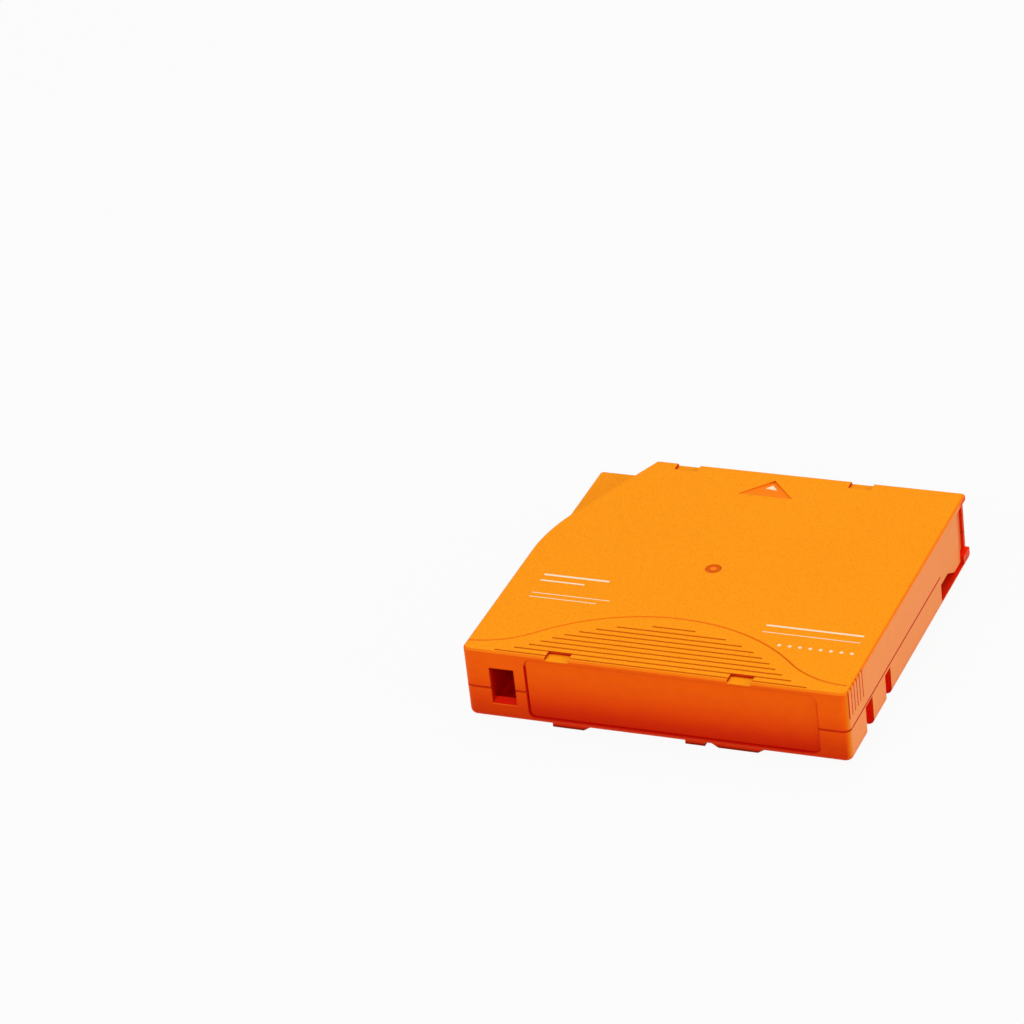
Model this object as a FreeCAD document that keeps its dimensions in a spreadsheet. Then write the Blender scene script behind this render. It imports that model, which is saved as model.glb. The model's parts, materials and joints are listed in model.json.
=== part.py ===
import FreeCAD, Part
import math
import os
import re

import Sketcher

# Half-inch tape cleaning cartridge with a single reel, in millimetres.
# +X runs to the right along the label face, +Y is the way the cartridge goes into a drive, +Z is up.
# The origin lies under the middle of the case, on the plane that the feet stand on.

SIZES = {
    # case
    "case_width": 105.4,
    "case_length": 102.0,
    "case_height": 21.5,
    "parting_height": 10.4,
    "wall": 1.8,
    "floor_thick": 1.6,
    "roof_thick": 1.6,
    "corner_round": 2.2,
    "front_round": 0.9,
    "top_edge_bevel": 0.5,
    "bottom_edge_round": 1.8,
    "seam_height": 0.2,
    "seam_depth": 0.6,
    # orientation step at the front left corner
    "guide_angle": 22.8,
    "guide_drop": 5.6,
    "ledge_thick": 1.5,
    # grip bell and grip grooves on the roof
    "bell_x": -1.0,
    "bell_half_width": 52.5,
    "bell_height": 21.3,
    "bell_inset": 4.2,
    "bell_crown_radius": 50.5,
    "bell_line_width": 0.5,
    "bell_line_depth": 0.4,
    "grip_inset": 1.2,
    "grip_pitch": 2.135,
    "grip_width": 0.5,
    "grip_depth": 0.35,
    "grip_margin": 4.7,
    "side_grip_inset": 1.6,
    "side_grip_depth": 0.4,
    "side_grip_bottom": 13.2,
    # arrow, stacking notches and gate mark on the roof
    "arrow_width": 15.3,
    "arrow_length": 8.4,
    "arrow_inset": 4.0,
    "arrow_depth": 0.55,
    "arrow_base_depth": 0.2,
    "notch_spread": 50.0,
    "notch_width": 6.5,
    "notch_length": 3.5,
    "notch_drop": 0.9,
    "gate_radius": 2.2,
    "gate_land_radius": 1.0,
    "gate_depth": 0.3,
    # label recess and tab window in the rear face
    "label_left": 17.4,
    "label_right": 8.3,
    "label_bottom": 2.6,
    "label_top_inset": 1.4,
    "label_depth": 0.45,
    "label_round": 1.6,
    "panel_gap": 0.12,
    "window_left": 7.25,
    "window_width": 6.9,
    "window_bottom": 6.75,
    "window_top_inset": 5.2,
    "window_sill": 1.4,
    "chamber_depth": 11.0,
    "chamber_wall": 1.2,
    # handling notches in the sides
    "side_notch_depth": 2.8,
    "rear_notch_inset": 13.1,
    "rear_notch_width": 5.55,
    "rear_notch_top": 9.5,
    "mid_notch_inset": 29.0,
    "mid_notch_width": 4.4,
    "mid_notch_top": 9.1,
    # feet
    "foot_height": 0.7,
    "foot_set_back": 0.6,
    "foot_length": 7.0,
    "left_foot_width": 11.0,
    "right_foot_width": 15.5,
    "foot_ramp": 2.4,
    "tab_foot_width": 5.4,
    "tab_foot_gap": 6.7,
    # screws
    "post_half": 3.6,
    "screw_rear_side": 6.1,
    "screw_rear_end": 18.0,
    "screw_left_side": 7.1,
    "screw_left_end": 6.4,
    "screw_right_side": 17.2,
    "screw_right_end": 4.6,
    "screw_head_radius": 2.3,
    "screw_head_height": 1.7,
    "screw_radius": 1.0,
    "screw_cover": 0.5,
    "screw_recess": 3.2,
    "screw_gap": 0.25,
    "pilot_gap": 0.02,
    # reel
    "reel_axis_x": -1.1,
    "reel_gap": 0.1,
    "reel_headroom": 1.75,
    "seat_height": 0.45,
    "seat_width": 1.8,
    "spindle_window": 19.2,
    "flange_inset": 2.7,
    "flange_thick": 1.15,
    "hub_radius": 22.0,
    "hub_wall": 2.5,
    "tape_play": 0.35,
    "pack_radius": 37.25,
    "wind_gap": 0.05,
    "gear_outer": 18.4,
    "gear_inner": 13.2,
    "gear_drop": 1.1,
    "tooth_height": 0.7,
    "tooth_root": 1.1,
    "tooth_end": 0.25,
    "web_thick": 1.6,
    "plate_inner": 5.0,
    "plate_outer": 12.8,
    "plate_thick": 0.8,
    # brake and release pad
    "stop_root": 1.9,
    "brake_ring": 2.2,
    "brake_ring_height": 3.4,
    "brake_gap": 0.1,
    "brake_clearance": 0.4,
    "brake_thick": 1.7,
    "brake_boss_wall": 0.8,
    "brake_boss_height": 4.5,
    "brake_lift": 2.2,
    "key_length": 10.0,
    "key_width": 3.0,
    "key_gap": 0.2,
    "brake_wire": 0.9,
    "brake_coil_radius": 7.4,
    "pad_radius": 5.0,
    "pad_arm_width": 3.4,
    "pad_arm_thick": 1.6,
    "leg_circle": 15.4,
    "leg_half": 1.15,
    "leg_gap": 0.15,
    # sliding door
    "door_thick": 1.3,
    "door_skin": 0.7,
    "door_gap": 0.15,
    "door_edge_gap": 0.2,
    "port_inset": 25.0,
    "door_tail": 10.0,
    "door_travel": 20.0,
    "channel_top": 6.0,
    "channel_front": 14.0,
    "channel_slope": 5.6,
    "channel_low": 3.1,
    "corner_block_length": 5.0,
    "corner_block_height": 4.7,
    "corner_inset": 0.95,
    "corner_chamfer": 0.5,
    "door_nose_length": 3.6,
    "door_nose_depth": 0.8,
    "lug_inset": 9.0,
    "lug_width": 1.6,
    "lug_reach": 1.8,
    "rail_width": 1.2,
    "rail_height": 1.4,
    "door_wire": 0.5,
    "door_coil_radius": 2.2,
    "spring_post_side": 7.9,
    "spring_post_end": 24.0,
    "spring_post_height": 4.0,
    # leader pin
    "pin_side": 10.2,
    "pin_end": 8.5,
    "pin_radius": 1.4,
    "pin_flange_radius": 2.6,
    "pin_flange_thick": 0.9,
    "pin_gap": 0.1,
    "pin_seat_gap": 0.3,
    "pin_seat_wall": 1.1,
    "pin_seat_height": 1.6,
    "clip_thick": 0.85,
    "clip_play": 0.25,
    "clip_mouth": 60.0,
    "leader_thick": 0.1,
    "leaf_thick": 0.3,
    "leaf_height": 1.1,
    "leaf_length": 5.0,
    # contactless memory
    "board_length": 16.0,
    "board_height": 7.0,
    "board_thick": 0.6,
    "board_side": 17.7,
    "board_end": 4.0,
    "board_rib": 1.5,
    "chip_length": 3.2,
    "chip_thick": 0.5,
    "coil_margin": 0.7,
    "coil_track": 1.2,
    "coil_thick": 0.08,
}

GRIP_COUNT = 10
SIDE_GRIP_COUNT = 6
DRIVE_TEETH = 32
BRAKE_TEETH = 24
# The hub stands half a brake tooth round from the brake, so that the two rings mesh at rest.
HALF_PITCH = 180 / BRAKE_TEETH
PAD_LEGS = 3
MARGIN = 1.0
LEVEL = 1e-4
BRAKE_TURNS = 3.25
DOOR_TURNS = 2.5
COIL_STEPS = 10
WIRE_SIDES = 4
# Small round forms are drawn with flat sides, which keeps the model light.
SCREW_SIDES = 12
GATE_SIDES = 16
POST_SIDES = 8
RING_SIDES = 24
# Shares of a wire's thickness: how far it stands off what it leans on, and how far a turn rises.
WIRE_STAND = 0.6
WIRE_RISE = 1.2
# The leader pin's seats face away from the door, and the memory board leans at half a right angle.
SEAT_FACING = 180
SEAT_HALF_ANGLE = 80
SEAT_SIDES = 5
CLIP_SIDES = 10
BOARD_TILT = 45

doc = FreeCAD.newDocument("cartridge")
sheet = doc.addObject("Spreadsheet::Sheet", "Sizes")
for row, (alias, value) in enumerate(SIZES.items(), start=1):
    sheet.set(f"A{row}", alias)
    sheet.set(f"B{row}", str(value))
    sheet.setAlias(f"B{row}", alias)
doc.recompute()

# Places that several pieces share, written in the sheet's names.
RIGHT = "(case_width / 2)"
LEFT = "(-case_width / 2)"
FRONT = "(case_length / 2)"
REAR = "(-case_length / 2)"
FLOOR = "(foot_height + floor_thick)"
ROOF = "(case_height - roof_thick)"
LEDGE = "(case_height - guide_drop)"
LABEL_X0 = f"({LEFT} + label_left)"
LABEL_X1 = f"({RIGHT} - label_right)"
LABEL_TOP = "(case_height - label_top_inset)"
WINDOW_X0 = f"({LEFT} + window_left)"
WINDOW_X1 = f"({LEFT} + window_left + window_width)"
DOOR_OUT = f"({RIGHT} - door_skin - door_gap)"
DOOR_IN = f"({DOOR_OUT} - door_thick)"
DOOR_FRONT = f"({FRONT} - wall - door_gap)"
PORT = f"({FRONT} - port_inset)"
DOOR_REAR = f"({PORT} - door_tail)"
RUN_REAR = f"({DOOR_REAR} - door_travel - 2 * door_gap)"
REEL_BASE = f"({FLOOR} + seat_height + reel_gap)"
FLANGE = "(min(case_width + 2 * reel_axis_x; case_length) / 2 - flange_inset)"
HUB_TOP = f"({ROOF} - reel_headroom - flange_thick)"
TAPE_BASE = f"({REEL_BASE} + flange_thick + tape_play / 2)"
TAPE_TOP = f"({HUB_TOP} - tape_play / 2)"
GEAR_BASE = f"({REEL_BASE} - gear_drop)"
WEB_BASE = f"({REEL_BASE} + flange_thick / 2)"
WEB_TOP = f"({WEB_BASE} + web_thick)"
BORE = "(hub_radius - hub_wall)"
RING_TOP = f"({WEB_TOP} + brake_ring_height)"
BRAKE_BASE = f"({RING_TOP} + tooth_height + brake_gap)"
BRAKE_TOP = f"({BRAKE_BASE} + brake_thick)"
BOSS_TOP = f"({BRAKE_TOP} + brake_boss_height)"
KEY_END = f"({BRAKE_TOP} + brake_thick / 2 + brake_lift + brake_gap)"
PIN_BASE = f"({FLOOR} + pin_gap)"
PIN_TOP = f"({ROOF} - pin_gap)"
PIN_X = f"({RIGHT} - pin_side)"
PIN_Y = f"({FRONT} - pin_end)"
SPRING_X = f"({RIGHT} - spring_post_side)"
SPRING_Y = f"({FRONT} - spring_post_end)"
BOARD_X = f"({RIGHT} - board_side)"
BOARD_Y = f"({REAR} + board_end)"
SCREW_SEAT = "(foot_height + screw_recess)"
SCREW_TIP = f"({LEDGE} - ledge_thick - screw_cover)"
SCREWS = [
    (f"({LEFT} + screw_rear_side)", f"({REAR} + screw_rear_end)"),
    (f"({RIGHT} - screw_rear_side)", f"({REAR} + screw_rear_end)"),
    (f"({LEFT} + screw_left_side)", f"({FRONT} - screw_left_end)"),
    (f"({RIGHT} - screw_right_side)", f"({FRONT} - screw_right_end)"),
]


def bound(text):
    """Writes an expression in the sheet's own names so that any object can use it."""
    return re.sub(
        r"[a-z][a-z0-9_]*",
        lambda word: f"Sizes.{word[0]}" if word[0] in SIZES else word[0],
        str(text),
    )


def number(text):
    """The present value of an expression."""
    value = sheet.evalExpression(bound(text))
    return float(getattr(value, "Value", value))


def tie(item, path, text):
    item.setExpression(path, bound(text))


def new_body(label, on_reel_axis=False, turn=0):
    """A body, on the reel axis if wanted and turned about it by some degrees."""
    body = doc.addObject("PartDesign::Body", label)
    body.Label = label
    body.Placement.Rotation = FreeCAD.Rotation(FreeCAD.Vector(0, 0, 1), turn)
    if on_reel_axis:
        tie(body, "Placement.Base.x", "reel_axis_x")
    return body


def origin_part(body, role):
    return next(part for part in body.Origin.OriginFeatures if part.Role == role)


def new_sketch(body, name, offset="0", plane="XY_Plane"):
    """A sketch on one of the body's origin planes, moved along the plane's normal."""
    sketch = body.newObject("Sketcher::SketchObject", name)
    sketch.AttachmentSupport = [(origin_part(body, plane), "")]
    sketch.MapMode = "FlatFace"
    tie(sketch, "AttachmentOffset.Base.z", offset)
    return sketch


def rule(sketch, kind, *terms):
    """Adds a constraint whose last term is an expression."""
    value = number(terms[-1])
    if kind == "Angle":
        value = math.radians(value)
    index = sketch.addConstraint(Sketcher.Constraint(kind, *terms[:-1], value))
    tie(sketch, f"Constraints[{index}]", terms[-1])


def place(sketch, item, point, x=None, y=None):
    """Ties a point of a sketch line or arc to its distances from the origin."""
    if x is not None:
        rule(sketch, "DistanceX", -1, 1, item, point, x)
    if y is not None:
        rule(sketch, "DistanceY", -1, 1, item, point, y)


def vector(x, y):
    return FreeCAD.Vector(number(x), number(y), 0)


def join(sketch, first, first_point, second, second_point):
    sketch.addConstraint(Sketcher.Constraint("Coincident", first, first_point, second, second_point))


def polygon(sketch, corners):
    start = sketch.GeometryCount
    count = len(corners)
    points = [vector(x, y) for x, y in corners]
    for index in range(count):
        sketch.addGeometry(Part.LineSegment(points[index], points[(index + 1) % count]), False)
    for index in range(count):
        join(sketch, start + index, 2, start + (index + 1) % count, 1)
    for index, (x, y) in enumerate(corners):
        place(sketch, start + index, 1, x, y)


def rectangle(sketch, x0, x1, y0, y1):
    polygon(sketch, [(x0, y0), (x1, y0), (x1, y1), (x0, y1)])


def circle(sketch, x, y, radius):
    item = sketch.addGeometry(
        Part.Circle(vector(x, y), FreeCAD.Vector(0, 0, 1), number(radius)), False
    )
    place(sketch, item, 3, x, y)
    rule(sketch, "Radius", item, radius)


def rounded_rectangle(sketch, x0, x1, y0, y1, radius, far_radius=None):
    """A rectangle with round corners; the two at y1 may have a radius of their own."""
    start = sketch.GeometryCount
    low = vector(x0, y0)
    high = vector(x1, y1)
    near = number(radius)
    far_radius = far_radius or radius
    far = number(far_radius)
    ends = [
        ((low.x + near, low.y), (high.x - near, low.y)),
        ((high.x, low.y + near), (high.x, high.y - far)),
        ((high.x - far, high.y), (low.x + far, high.y)),
        ((low.x, high.y - far), (low.x, low.y + near)),
    ]
    corners = [
        (high.x - near, low.y + near, radius),
        (high.x - far, high.y - far, far_radius),
        (low.x + far, high.y - far, far_radius),
        (low.x + near, low.y + near, radius),
    ]
    for (ax, ay), (bx, by) in ends:
        sketch.addGeometry(Part.LineSegment(FreeCAD.Vector(ax, ay, 0), FreeCAD.Vector(bx, by, 0)), False)
    for index, (cx, cy, size) in enumerate(corners):
        ring = Part.Circle(FreeCAD.Vector(cx, cy, 0), FreeCAD.Vector(0, 0, 1), number(size))
        angle = (index - 1) * math.pi / 2
        sketch.addGeometry(Part.ArcOfCircle(ring, angle, angle + math.pi / 2), False)
    for index, size in enumerate((radius, far_radius, far_radius, radius)):
        line = start + index
        arc = start + len(corners) + index
        sketch.addConstraint(Sketcher.Constraint("Tangent", line, 2, arc, 1))
        sketch.addConstraint(Sketcher.Constraint("Tangent", arc, 2, start + (index + 1) % len(corners), 1))
        rule(sketch, "Radius", arc, size)
        sketch.addConstraint(Sketcher.Constraint("Horizontal" if index % 2 == 0 else "Vertical", line))
    place(sketch, start, 1, y=y0)
    place(sketch, start + 1, 1, x=x1)
    place(sketch, start + 2, 1, y=y1)
    place(sketch, start + 3, 1, x=x0)


def turned(x, y, radius, angle):
    """The point at a radius and an angle in degrees about (x, y)."""
    return f"{x} + {radius} * cos({angle})", f"{y} + {radius} * sin({angle})"


def many_sided(sketch, x, y, radius, sides):
    polygon(sketch, [turned(x, y, radius, 360 * index / sides) for index in range(sides)])


def ring_sector(sketch, x, y, inner, outer, middle, half, sides):
    """Part of a flat-sided ring about (x, y), from middle - half to middle + half degrees."""
    step = 2 * half / sides
    angles = [middle - half + step * index for index in range(sides + 1)]
    bore = f"({inner} / cos({step / 2}))"
    corners = [turned(x, y, bore, angle) for angle in angles]
    polygon(sketch, corners + [turned(x, y, outer, angle) for angle in reversed(angles)])


def settle(feature, body, sign):
    """Recomputes a feature and makes sure that it added or removed material."""
    before = feature.BaseFeature.Shape.Volume if feature.BaseFeature else 0.0
    doc.recompute()
    if not feature.isValid() or (feature.Shape.Volume - before) * sign <= 0:
        raise RuntimeError(f"{feature.Name} changes nothing")
    body.Tip = feature
    return feature


def pad(body, sketch, length, down=False):
    feature = body.newObject("PartDesign::Pad", f"{sketch.Name}_pad")
    feature.Profile = sketch
    feature.Reversed = down
    tie(feature, "Length", length)
    return settle(feature, body, 1)


def pocket(body, sketch, depth, up=False):
    """Cuts against the sketch's normal, or along it."""
    feature = body.newObject("PartDesign::Pocket", f"{sketch.Name}_pocket")
    feature.Profile = sketch
    feature.Reversed = up
    tie(feature, "Length", depth)
    return settle(feature, body, -1)


def revolve(body, sketch):
    feature = body.newObject("PartDesign::Revolution", f"{sketch.Name}_turn")
    feature.Profile = sketch
    feature.ReferenceAxis = (origin_part(body, "Z_Axis"), [""])
    feature.Angle = 360
    return settle(feature, body, 1)


def polar(body, feature, count):
    pattern = body.newObject("PartDesign::PolarPattern", f"{feature.Name}_pattern")
    pattern.Originals = [feature]
    pattern.Axis = (origin_part(body, "Z_Axis"), [""])
    pattern.Angle = 360
    pattern.Occurrences = count
    doc.recompute()
    body.Tip = pattern
    return pattern


def dress_edges(body, base, kind, measure, size, height):
    """Fillets or chamfers those edges of a feature that lie in a level plane."""
    z = number(height)
    names = []
    for index, edge in enumerate(base.Shape.Edges, start=1):
        if all(abs(vertex.Z - z) < LEVEL for vertex in edge.Vertexes):
            names.append(f"Edge{index}")
    feature = body.newObject(f"PartDesign::{kind}", f"{base.Name}_edges")
    feature.Base = (base, names)
    tie(feature, measure, size)
    return settle(feature, body, -1)


def shape_node(label, shape, on_reel_axis=False):
    feature = doc.addObject("Part::Feature", label)
    feature.Label = label
    feature.Shape = shape
    if on_reel_axis:
        tie(feature, "Placement.Base.x", "reel_axis_x")
    return feature


def guide_edge(sketch, inset):
    """The orientation step's plan edge: an arc about the reel axis, then its tangent to the front."""
    centre = vector("reel_axis_x", "0")
    radius = number(f"{RIGHT} + reel_axis_x - {inset}")
    turn = math.radians(number("180 - guide_angle"))
    ring = Part.Circle(centre, FreeCAD.Vector(0, 0, 1), radius)
    arc = sketch.addGeometry(Part.ArcOfCircle(ring, turn, math.pi), False)
    corner = ring.value(turn)
    slope = math.tan(math.radians(number("90 - guide_angle")))
    end_x = corner.x + (number(FRONT) - corner.y) / slope
    end = FreeCAD.Vector(end_x, number(FRONT), 0)
    line = sketch.addGeometry(Part.LineSegment(corner, end), False)
    place(sketch, arc, 3, "reel_axis_x", "0")
    place(sketch, arc, 2, f"{LEFT} + {inset}", "0")
    sketch.addConstraint(Sketcher.Constraint("Tangent", arc, 1, line, 1))
    rule(sketch, "Angle", line, "90 - guide_angle")
    return arc, line


def guide_outline(sketch, inset, corners, y_end):
    """Closes the guide edge through further corners, from its front end round to its rear end."""
    arc, line = guide_edge(sketch, inset)
    place(sketch, line, 2, y=y_end)
    points = [sketch.getPoint(line, 2)] + [vector(x, y) for x, y in corners] + [sketch.getPoint(arc, 2)]
    first = sketch.GeometryCount
    for a, b in zip(points, points[1:]):
        sketch.addGeometry(Part.LineSegment(a, b), False)
    last = first + len(points) - 2
    join(sketch, line, 2, first, 1)
    for index in range(first, last):
        join(sketch, index, 2, index + 1, 1)
        place(sketch, index, 2, *corners[index - first])
    join(sketch, last, 2, arc, 2)


def screw_squares(sketch, half, places):
    for x, y in places:
        rectangle(sketch, f"{x} - {half}", f"{x} + {half}", f"{y} - {half}", f"{y} + {half}")


def outside(sketch, inset):
    """All that lies round the case outline, or round that outline moved inwards."""
    rectangle(
        sketch, f"{LEFT} - {MARGIN}", f"{RIGHT} + {MARGIN}", f"{REAR} - {MARGIN}", f"{FRONT} + {MARGIN}"
    )
    rounded_rectangle(
        sketch, f"{LEFT} + {inset}", f"{RIGHT} - {inset}", f"{REAR} + {inset}", f"{FRONT} - {inset}",
        "corner_round", "front_round",
    )


def notch_rectangles(sketch):
    """The four stacking notches, two at each end, either side of the reel axis."""
    for side in (-1, 1):
        middle = f"(reel_axis_x + {side} * notch_spread / 2)"
        x0 = f"{middle} - notch_width / 2"
        x1 = f"{middle} + notch_width / 2"
        rectangle(sketch, x0, x1, f"{REAR} - {MARGIN}", f"{REAR} + notch_length")
        rectangle(sketch, x0, x1, f"{FRONT} - notch_length", f"{FRONT} + {MARGIN}")


def door_run(body, height, depth, up):
    """Thins the right wall to a skin along the door's way, and opens the port at its front end."""
    run = new_sketch(body, f"{body.Name}_run", height)
    rectangle(run, f"{RIGHT} - wall - {MARGIN}", f"{RIGHT} - door_skin", RUN_REAR, f"{FRONT} - wall")
    pocket(body, run, depth, up)
    port = new_sketch(body, f"{body.Name}_port", height)
    rectangle(port, f"{RIGHT} - wall - {MARGIN}", f"{RIGHT} + {MARGIN}", PORT, f"{FRONT} - wall")
    pocket(body, port, depth, up)


def corner_cut(body, height, depth, up):
    """Sets the right end of the front wall back from the corner, with a bevelled edge."""
    cut = new_sketch(body, f"{body.Name}_corner", height)
    x_end = f"({RIGHT} - corner_inset)"
    polygon(cut, [
        (x_end, f"{FRONT} - wall - {MARGIN}"),
        (f"{RIGHT} + {MARGIN}", f"{FRONT} - wall - {MARGIN}"),
        (f"{RIGHT} + {MARGIN}", f"{FRONT} + {MARGIN}"),
        (f"{x_end} - corner_chamfer", f"{FRONT} + {MARGIN}"),
        (f"{x_end} - corner_chamfer", FRONT),
        (x_end, f"{FRONT} - corner_chamfer"),
    ])
    pocket(body, cut, depth, up)


def rear_face(body, label_cut, z_low, z_high):
    """The label recess and the tab window, cut into the rear wall of one shell."""
    label = new_sketch(body, f"{body.Name}_label", f"-{REAR}", "XZ_Plane")
    rounded_rectangle(label, LABEL_X0, LABEL_X1, "label_bottom", LABEL_TOP, "label_round")
    pocket(body, label, label_cut)
    window = new_sketch(body, f"{body.Name}_window", f"-{REAR}", "XZ_Plane")
    rectangle(window, WINDOW_X0, WINDOW_X1, z_low, z_high)
    pocket(body, window, f"wall + {MARGIN}")


def chamber(body, height, length, down):
    """Walls behind the tab window, so that it opens into a closed chamber."""
    walls = new_sketch(body, f"{body.Name}_chamber", height)
    y0 = f"{REAR} + wall / 2"
    y1 = f"({REAR} + wall + chamber_depth)"
    polygon(walls, [
        (f"{WINDOW_X0} - chamber_wall", y0),
        (WINDOW_X0, y0),
        (WINDOW_X0, y1),
        (WINDOW_X1, y1),
        (WINDOW_X1, y0),
        (f"{WINDOW_X1} + chamber_wall", y0),
        (f"{WINDOW_X1} + chamber_wall", f"{y1} + chamber_wall"),
        (f"{WINDOW_X0} - chamber_wall", f"{y1} + chamber_wall"),
    ])
    pad(body, walls, length, down)


def pin_seat(body, height, down):
    """Half ring that the end of the leader pin sits in, open towards the door."""
    seat = new_sketch(body, f"{body.Name}_seat", height)
    inner = "(pin_flange_radius + pin_seat_gap)"
    outer = f"({inner} + pin_seat_wall)"
    ring_sector(seat, PIN_X, PIN_Y, inner, outer, SEAT_FACING, SEAT_HALF_ANGLE, SEAT_SIDES)
    pad(body, seat, "pin_seat_height", down)


def door_rail(body, height, down):
    """Rib that keeps the door against the right wall."""
    rail = new_sketch(body, f"{body.Name}_rail", height)
    x1 = f"({DOOR_IN} - door_edge_gap)"
    rectangle(rail, f"{x1} - rail_width", x1, RUN_REAR, PORT)
    pad(body, rail, "rail_height", down)


def side_notch(body, side, name, inset, width, top):
    """A handling notch in one side, with a pocket wall behind it."""
    y0 = f"({REAR} + {inset})"
    y1 = f"({REAR} + {inset} + {width})"
    inside = f"({side} * ({RIGHT} - side_notch_depth - chamber_wall))"
    shell = f"({side} * ({RIGHT} - wall / 2))"
    block = new_sketch(body, f"{name}_wall", FLOOR)
    x0, x1 = (inside, shell) if side > 0 else (shell, inside)
    rectangle(block, x0, x1, f"{y0} - chamber_wall", f"{y1} + chamber_wall")
    pad(body, block, f"parting_height - {FLOOR}")
    notch = new_sketch(body, f"{name}_cut", f"{side} * {RIGHT}", "YZ_Plane")
    rectangle(notch, y0, y1, f"foot_height - {MARGIN}", top)
    pocket(body, notch, "side_notch_depth", up=side < 0)


def foot(body, name, x0, x1, ramp0, ramp1, front=False):
    """A low foot at the rear or front edge, with ramped ends where a ramp is given."""
    top = "(foot_height + floor_thick / 2)"
    edge = f"({FRONT} - foot_set_back)" if front else f"({REAR} + foot_set_back)"
    profile = new_sketch(body, name, f"-{edge}", "XZ_Plane")
    polygon(profile, [
        (x0, top),
        (f"{x0} + {ramp0}", "0"),
        (f"{x1} - {ramp1}", "0"),
        (x1, top),
    ])
    pad(body, profile, "foot_length", down=not front)


def lower_shell():
    body = new_body("lower_shell")
    outline = new_sketch(body, "lower_outline", "foot_height")
    rectangle(outline, LEFT, RIGHT, REAR, FRONT)
    block = pad(body, outline, "parting_height - foot_height")
    dress_edges(body, block, "Fillet", "Radius", "bottom_edge_round", "foot_height")
    corners = new_sketch(body, "lower_corners", "parting_height")
    outside(corners, "0")
    pocket(body, corners, "parting_height")

    tray = new_sketch(body, "lower_tray", "parting_height")
    rectangle(tray, f"{LEFT} + wall", f"{RIGHT} - wall", f"{REAR} + wall", f"{FRONT} - wall")
    pocket(body, tray, f"parting_height - {FLOOR}")

    posts = new_sketch(body, "lower_posts", FLOOR)
    screw_squares(posts, "post_half", SCREWS)
    pad(body, posts, f"parting_height - {FLOOR}")

    seat = new_sketch(body, "reel_seat", FLOOR)
    many_sided(seat, "reel_axis_x", "0", "(spindle_window + seat_width)", RING_SIDES)
    pad(body, seat, "seat_height")
    window = new_sketch(body, "spindle_hole", f"{FLOOR} + seat_height")
    circle(window, "reel_axis_x", "0", "spindle_window")
    pocket(body, window, f"floor_thick + seat_height + {MARGIN}")

    for side, word in ((-1, "left"), (1, "right")):
        side_notch(
            body, side, f"{word}_rear_notch", "rear_notch_inset", "rear_notch_width", "rear_notch_top"
        )
        side_notch(
            body, side, f"{word}_mid_notch", "mid_notch_inset", "mid_notch_width", "mid_notch_top"
        )

    chamber(body, FLOOR, f"parting_height - {FLOOR}", down=False)
    door_run(body, "parting_height", f"parting_height - {FLOOR}", up=False)
    block = new_sketch(body, "corner_block", FLOOR)
    rectangle(block, DOOR_IN, RIGHT, f"{FRONT} - corner_block_length", FRONT)
    pad(body, block, f"corner_block_height - {FLOOR}")
    corner_cut(body, "parting_height", "parting_height - corner_block_height", up=False)
    door_rail(body, FLOOR, down=False)
    pin_seat(body, FLOOR, down=False)

    post = new_sketch(body, "spring_post", FLOOR)
    many_sided(post, SPRING_X, SPRING_Y, "(door_coil_radius - door_wire)", POST_SIDES)
    pad(body, post, "spring_post_height")

    rib_y = f"({BOARD_Y} + board_thick / sin({BOARD_TILT}))"
    rib_end = f"{rib_y} + board_height * cos({BOARD_TILT})"
    for index, side in enumerate((-1, 1)):
        rib_x = f"{BOARD_X} + {side} * (board_length / 2 - board_rib)"
        rib = new_sketch(body, f"board_rib_{index}", rib_x, "YZ_Plane")
        polygon(rib, [
            (rib_y, FLOOR), (rib_end, FLOOR), (rib_end, f"{FLOOR} + board_height * sin({BOARD_TILT})"),
        ])
        pad(body, rib, "board_rib", down=side > 0)

    holes = new_sketch(body, "screw_holes", "parting_height")
    screw_squares(holes, "(screw_radius + screw_gap)", SCREWS)
    pocket(body, holes, f"parting_height - foot_height + {MARGIN}")
    recesses = new_sketch(body, "screw_recesses", "foot_height")
    for x, y in SCREWS:
        many_sided(recesses, x, y, "(screw_head_radius + screw_gap)", SCREW_SIDES)
    pocket(body, recesses, "screw_recess", up=True)

    left_x = "(reel_axis_x - notch_spread / 2 - notch_width / 2)"
    right_x = "(reel_axis_x + notch_spread / 2 + notch_width / 2 + foot_ramp)"
    tab_x = f"({right_x} - right_foot_width - tab_foot_gap)"
    foot(body, "rear_left_foot", left_x, f"{left_x} + left_foot_width", "0", "foot_ramp")
    foot(body, "rear_right_foot", f"{right_x} - right_foot_width", right_x, "foot_ramp", "foot_ramp")
    foot(body, "rear_tab_foot", tab_x, f"{tab_x} + tab_foot_width", "0", "0")
    for index, side in enumerate((-1, 1)):
        x0 = f"(reel_axis_x + {side} * notch_spread / 2 - tab_foot_width / 2)"
        foot(body, f"front_foot_{index}", x0, f"{x0} + tab_foot_width", "0", "0", front=True)

    rear_face(body, f"wall + {MARGIN}", "window_bottom", f"parting_height + {MARGIN}")
    sill = new_sketch(body, "window_sill", WINDOW_X0, "YZ_Plane")
    polygon(sill, [
        (f"{REAR} - {MARGIN}", f"window_bottom - window_sill * (1 + {MARGIN} / wall)"),
        (f"{REAR} + wall", "window_bottom"),
        (f"{REAR} - {MARGIN}", "window_bottom"),
    ])
    pocket(body, sill, "window_width", up=True)

    seam = new_sketch(body, "seam", "parting_height")
    outside(seam, "seam_depth")
    pocket(body, seam, "seam_height")
    return body


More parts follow.
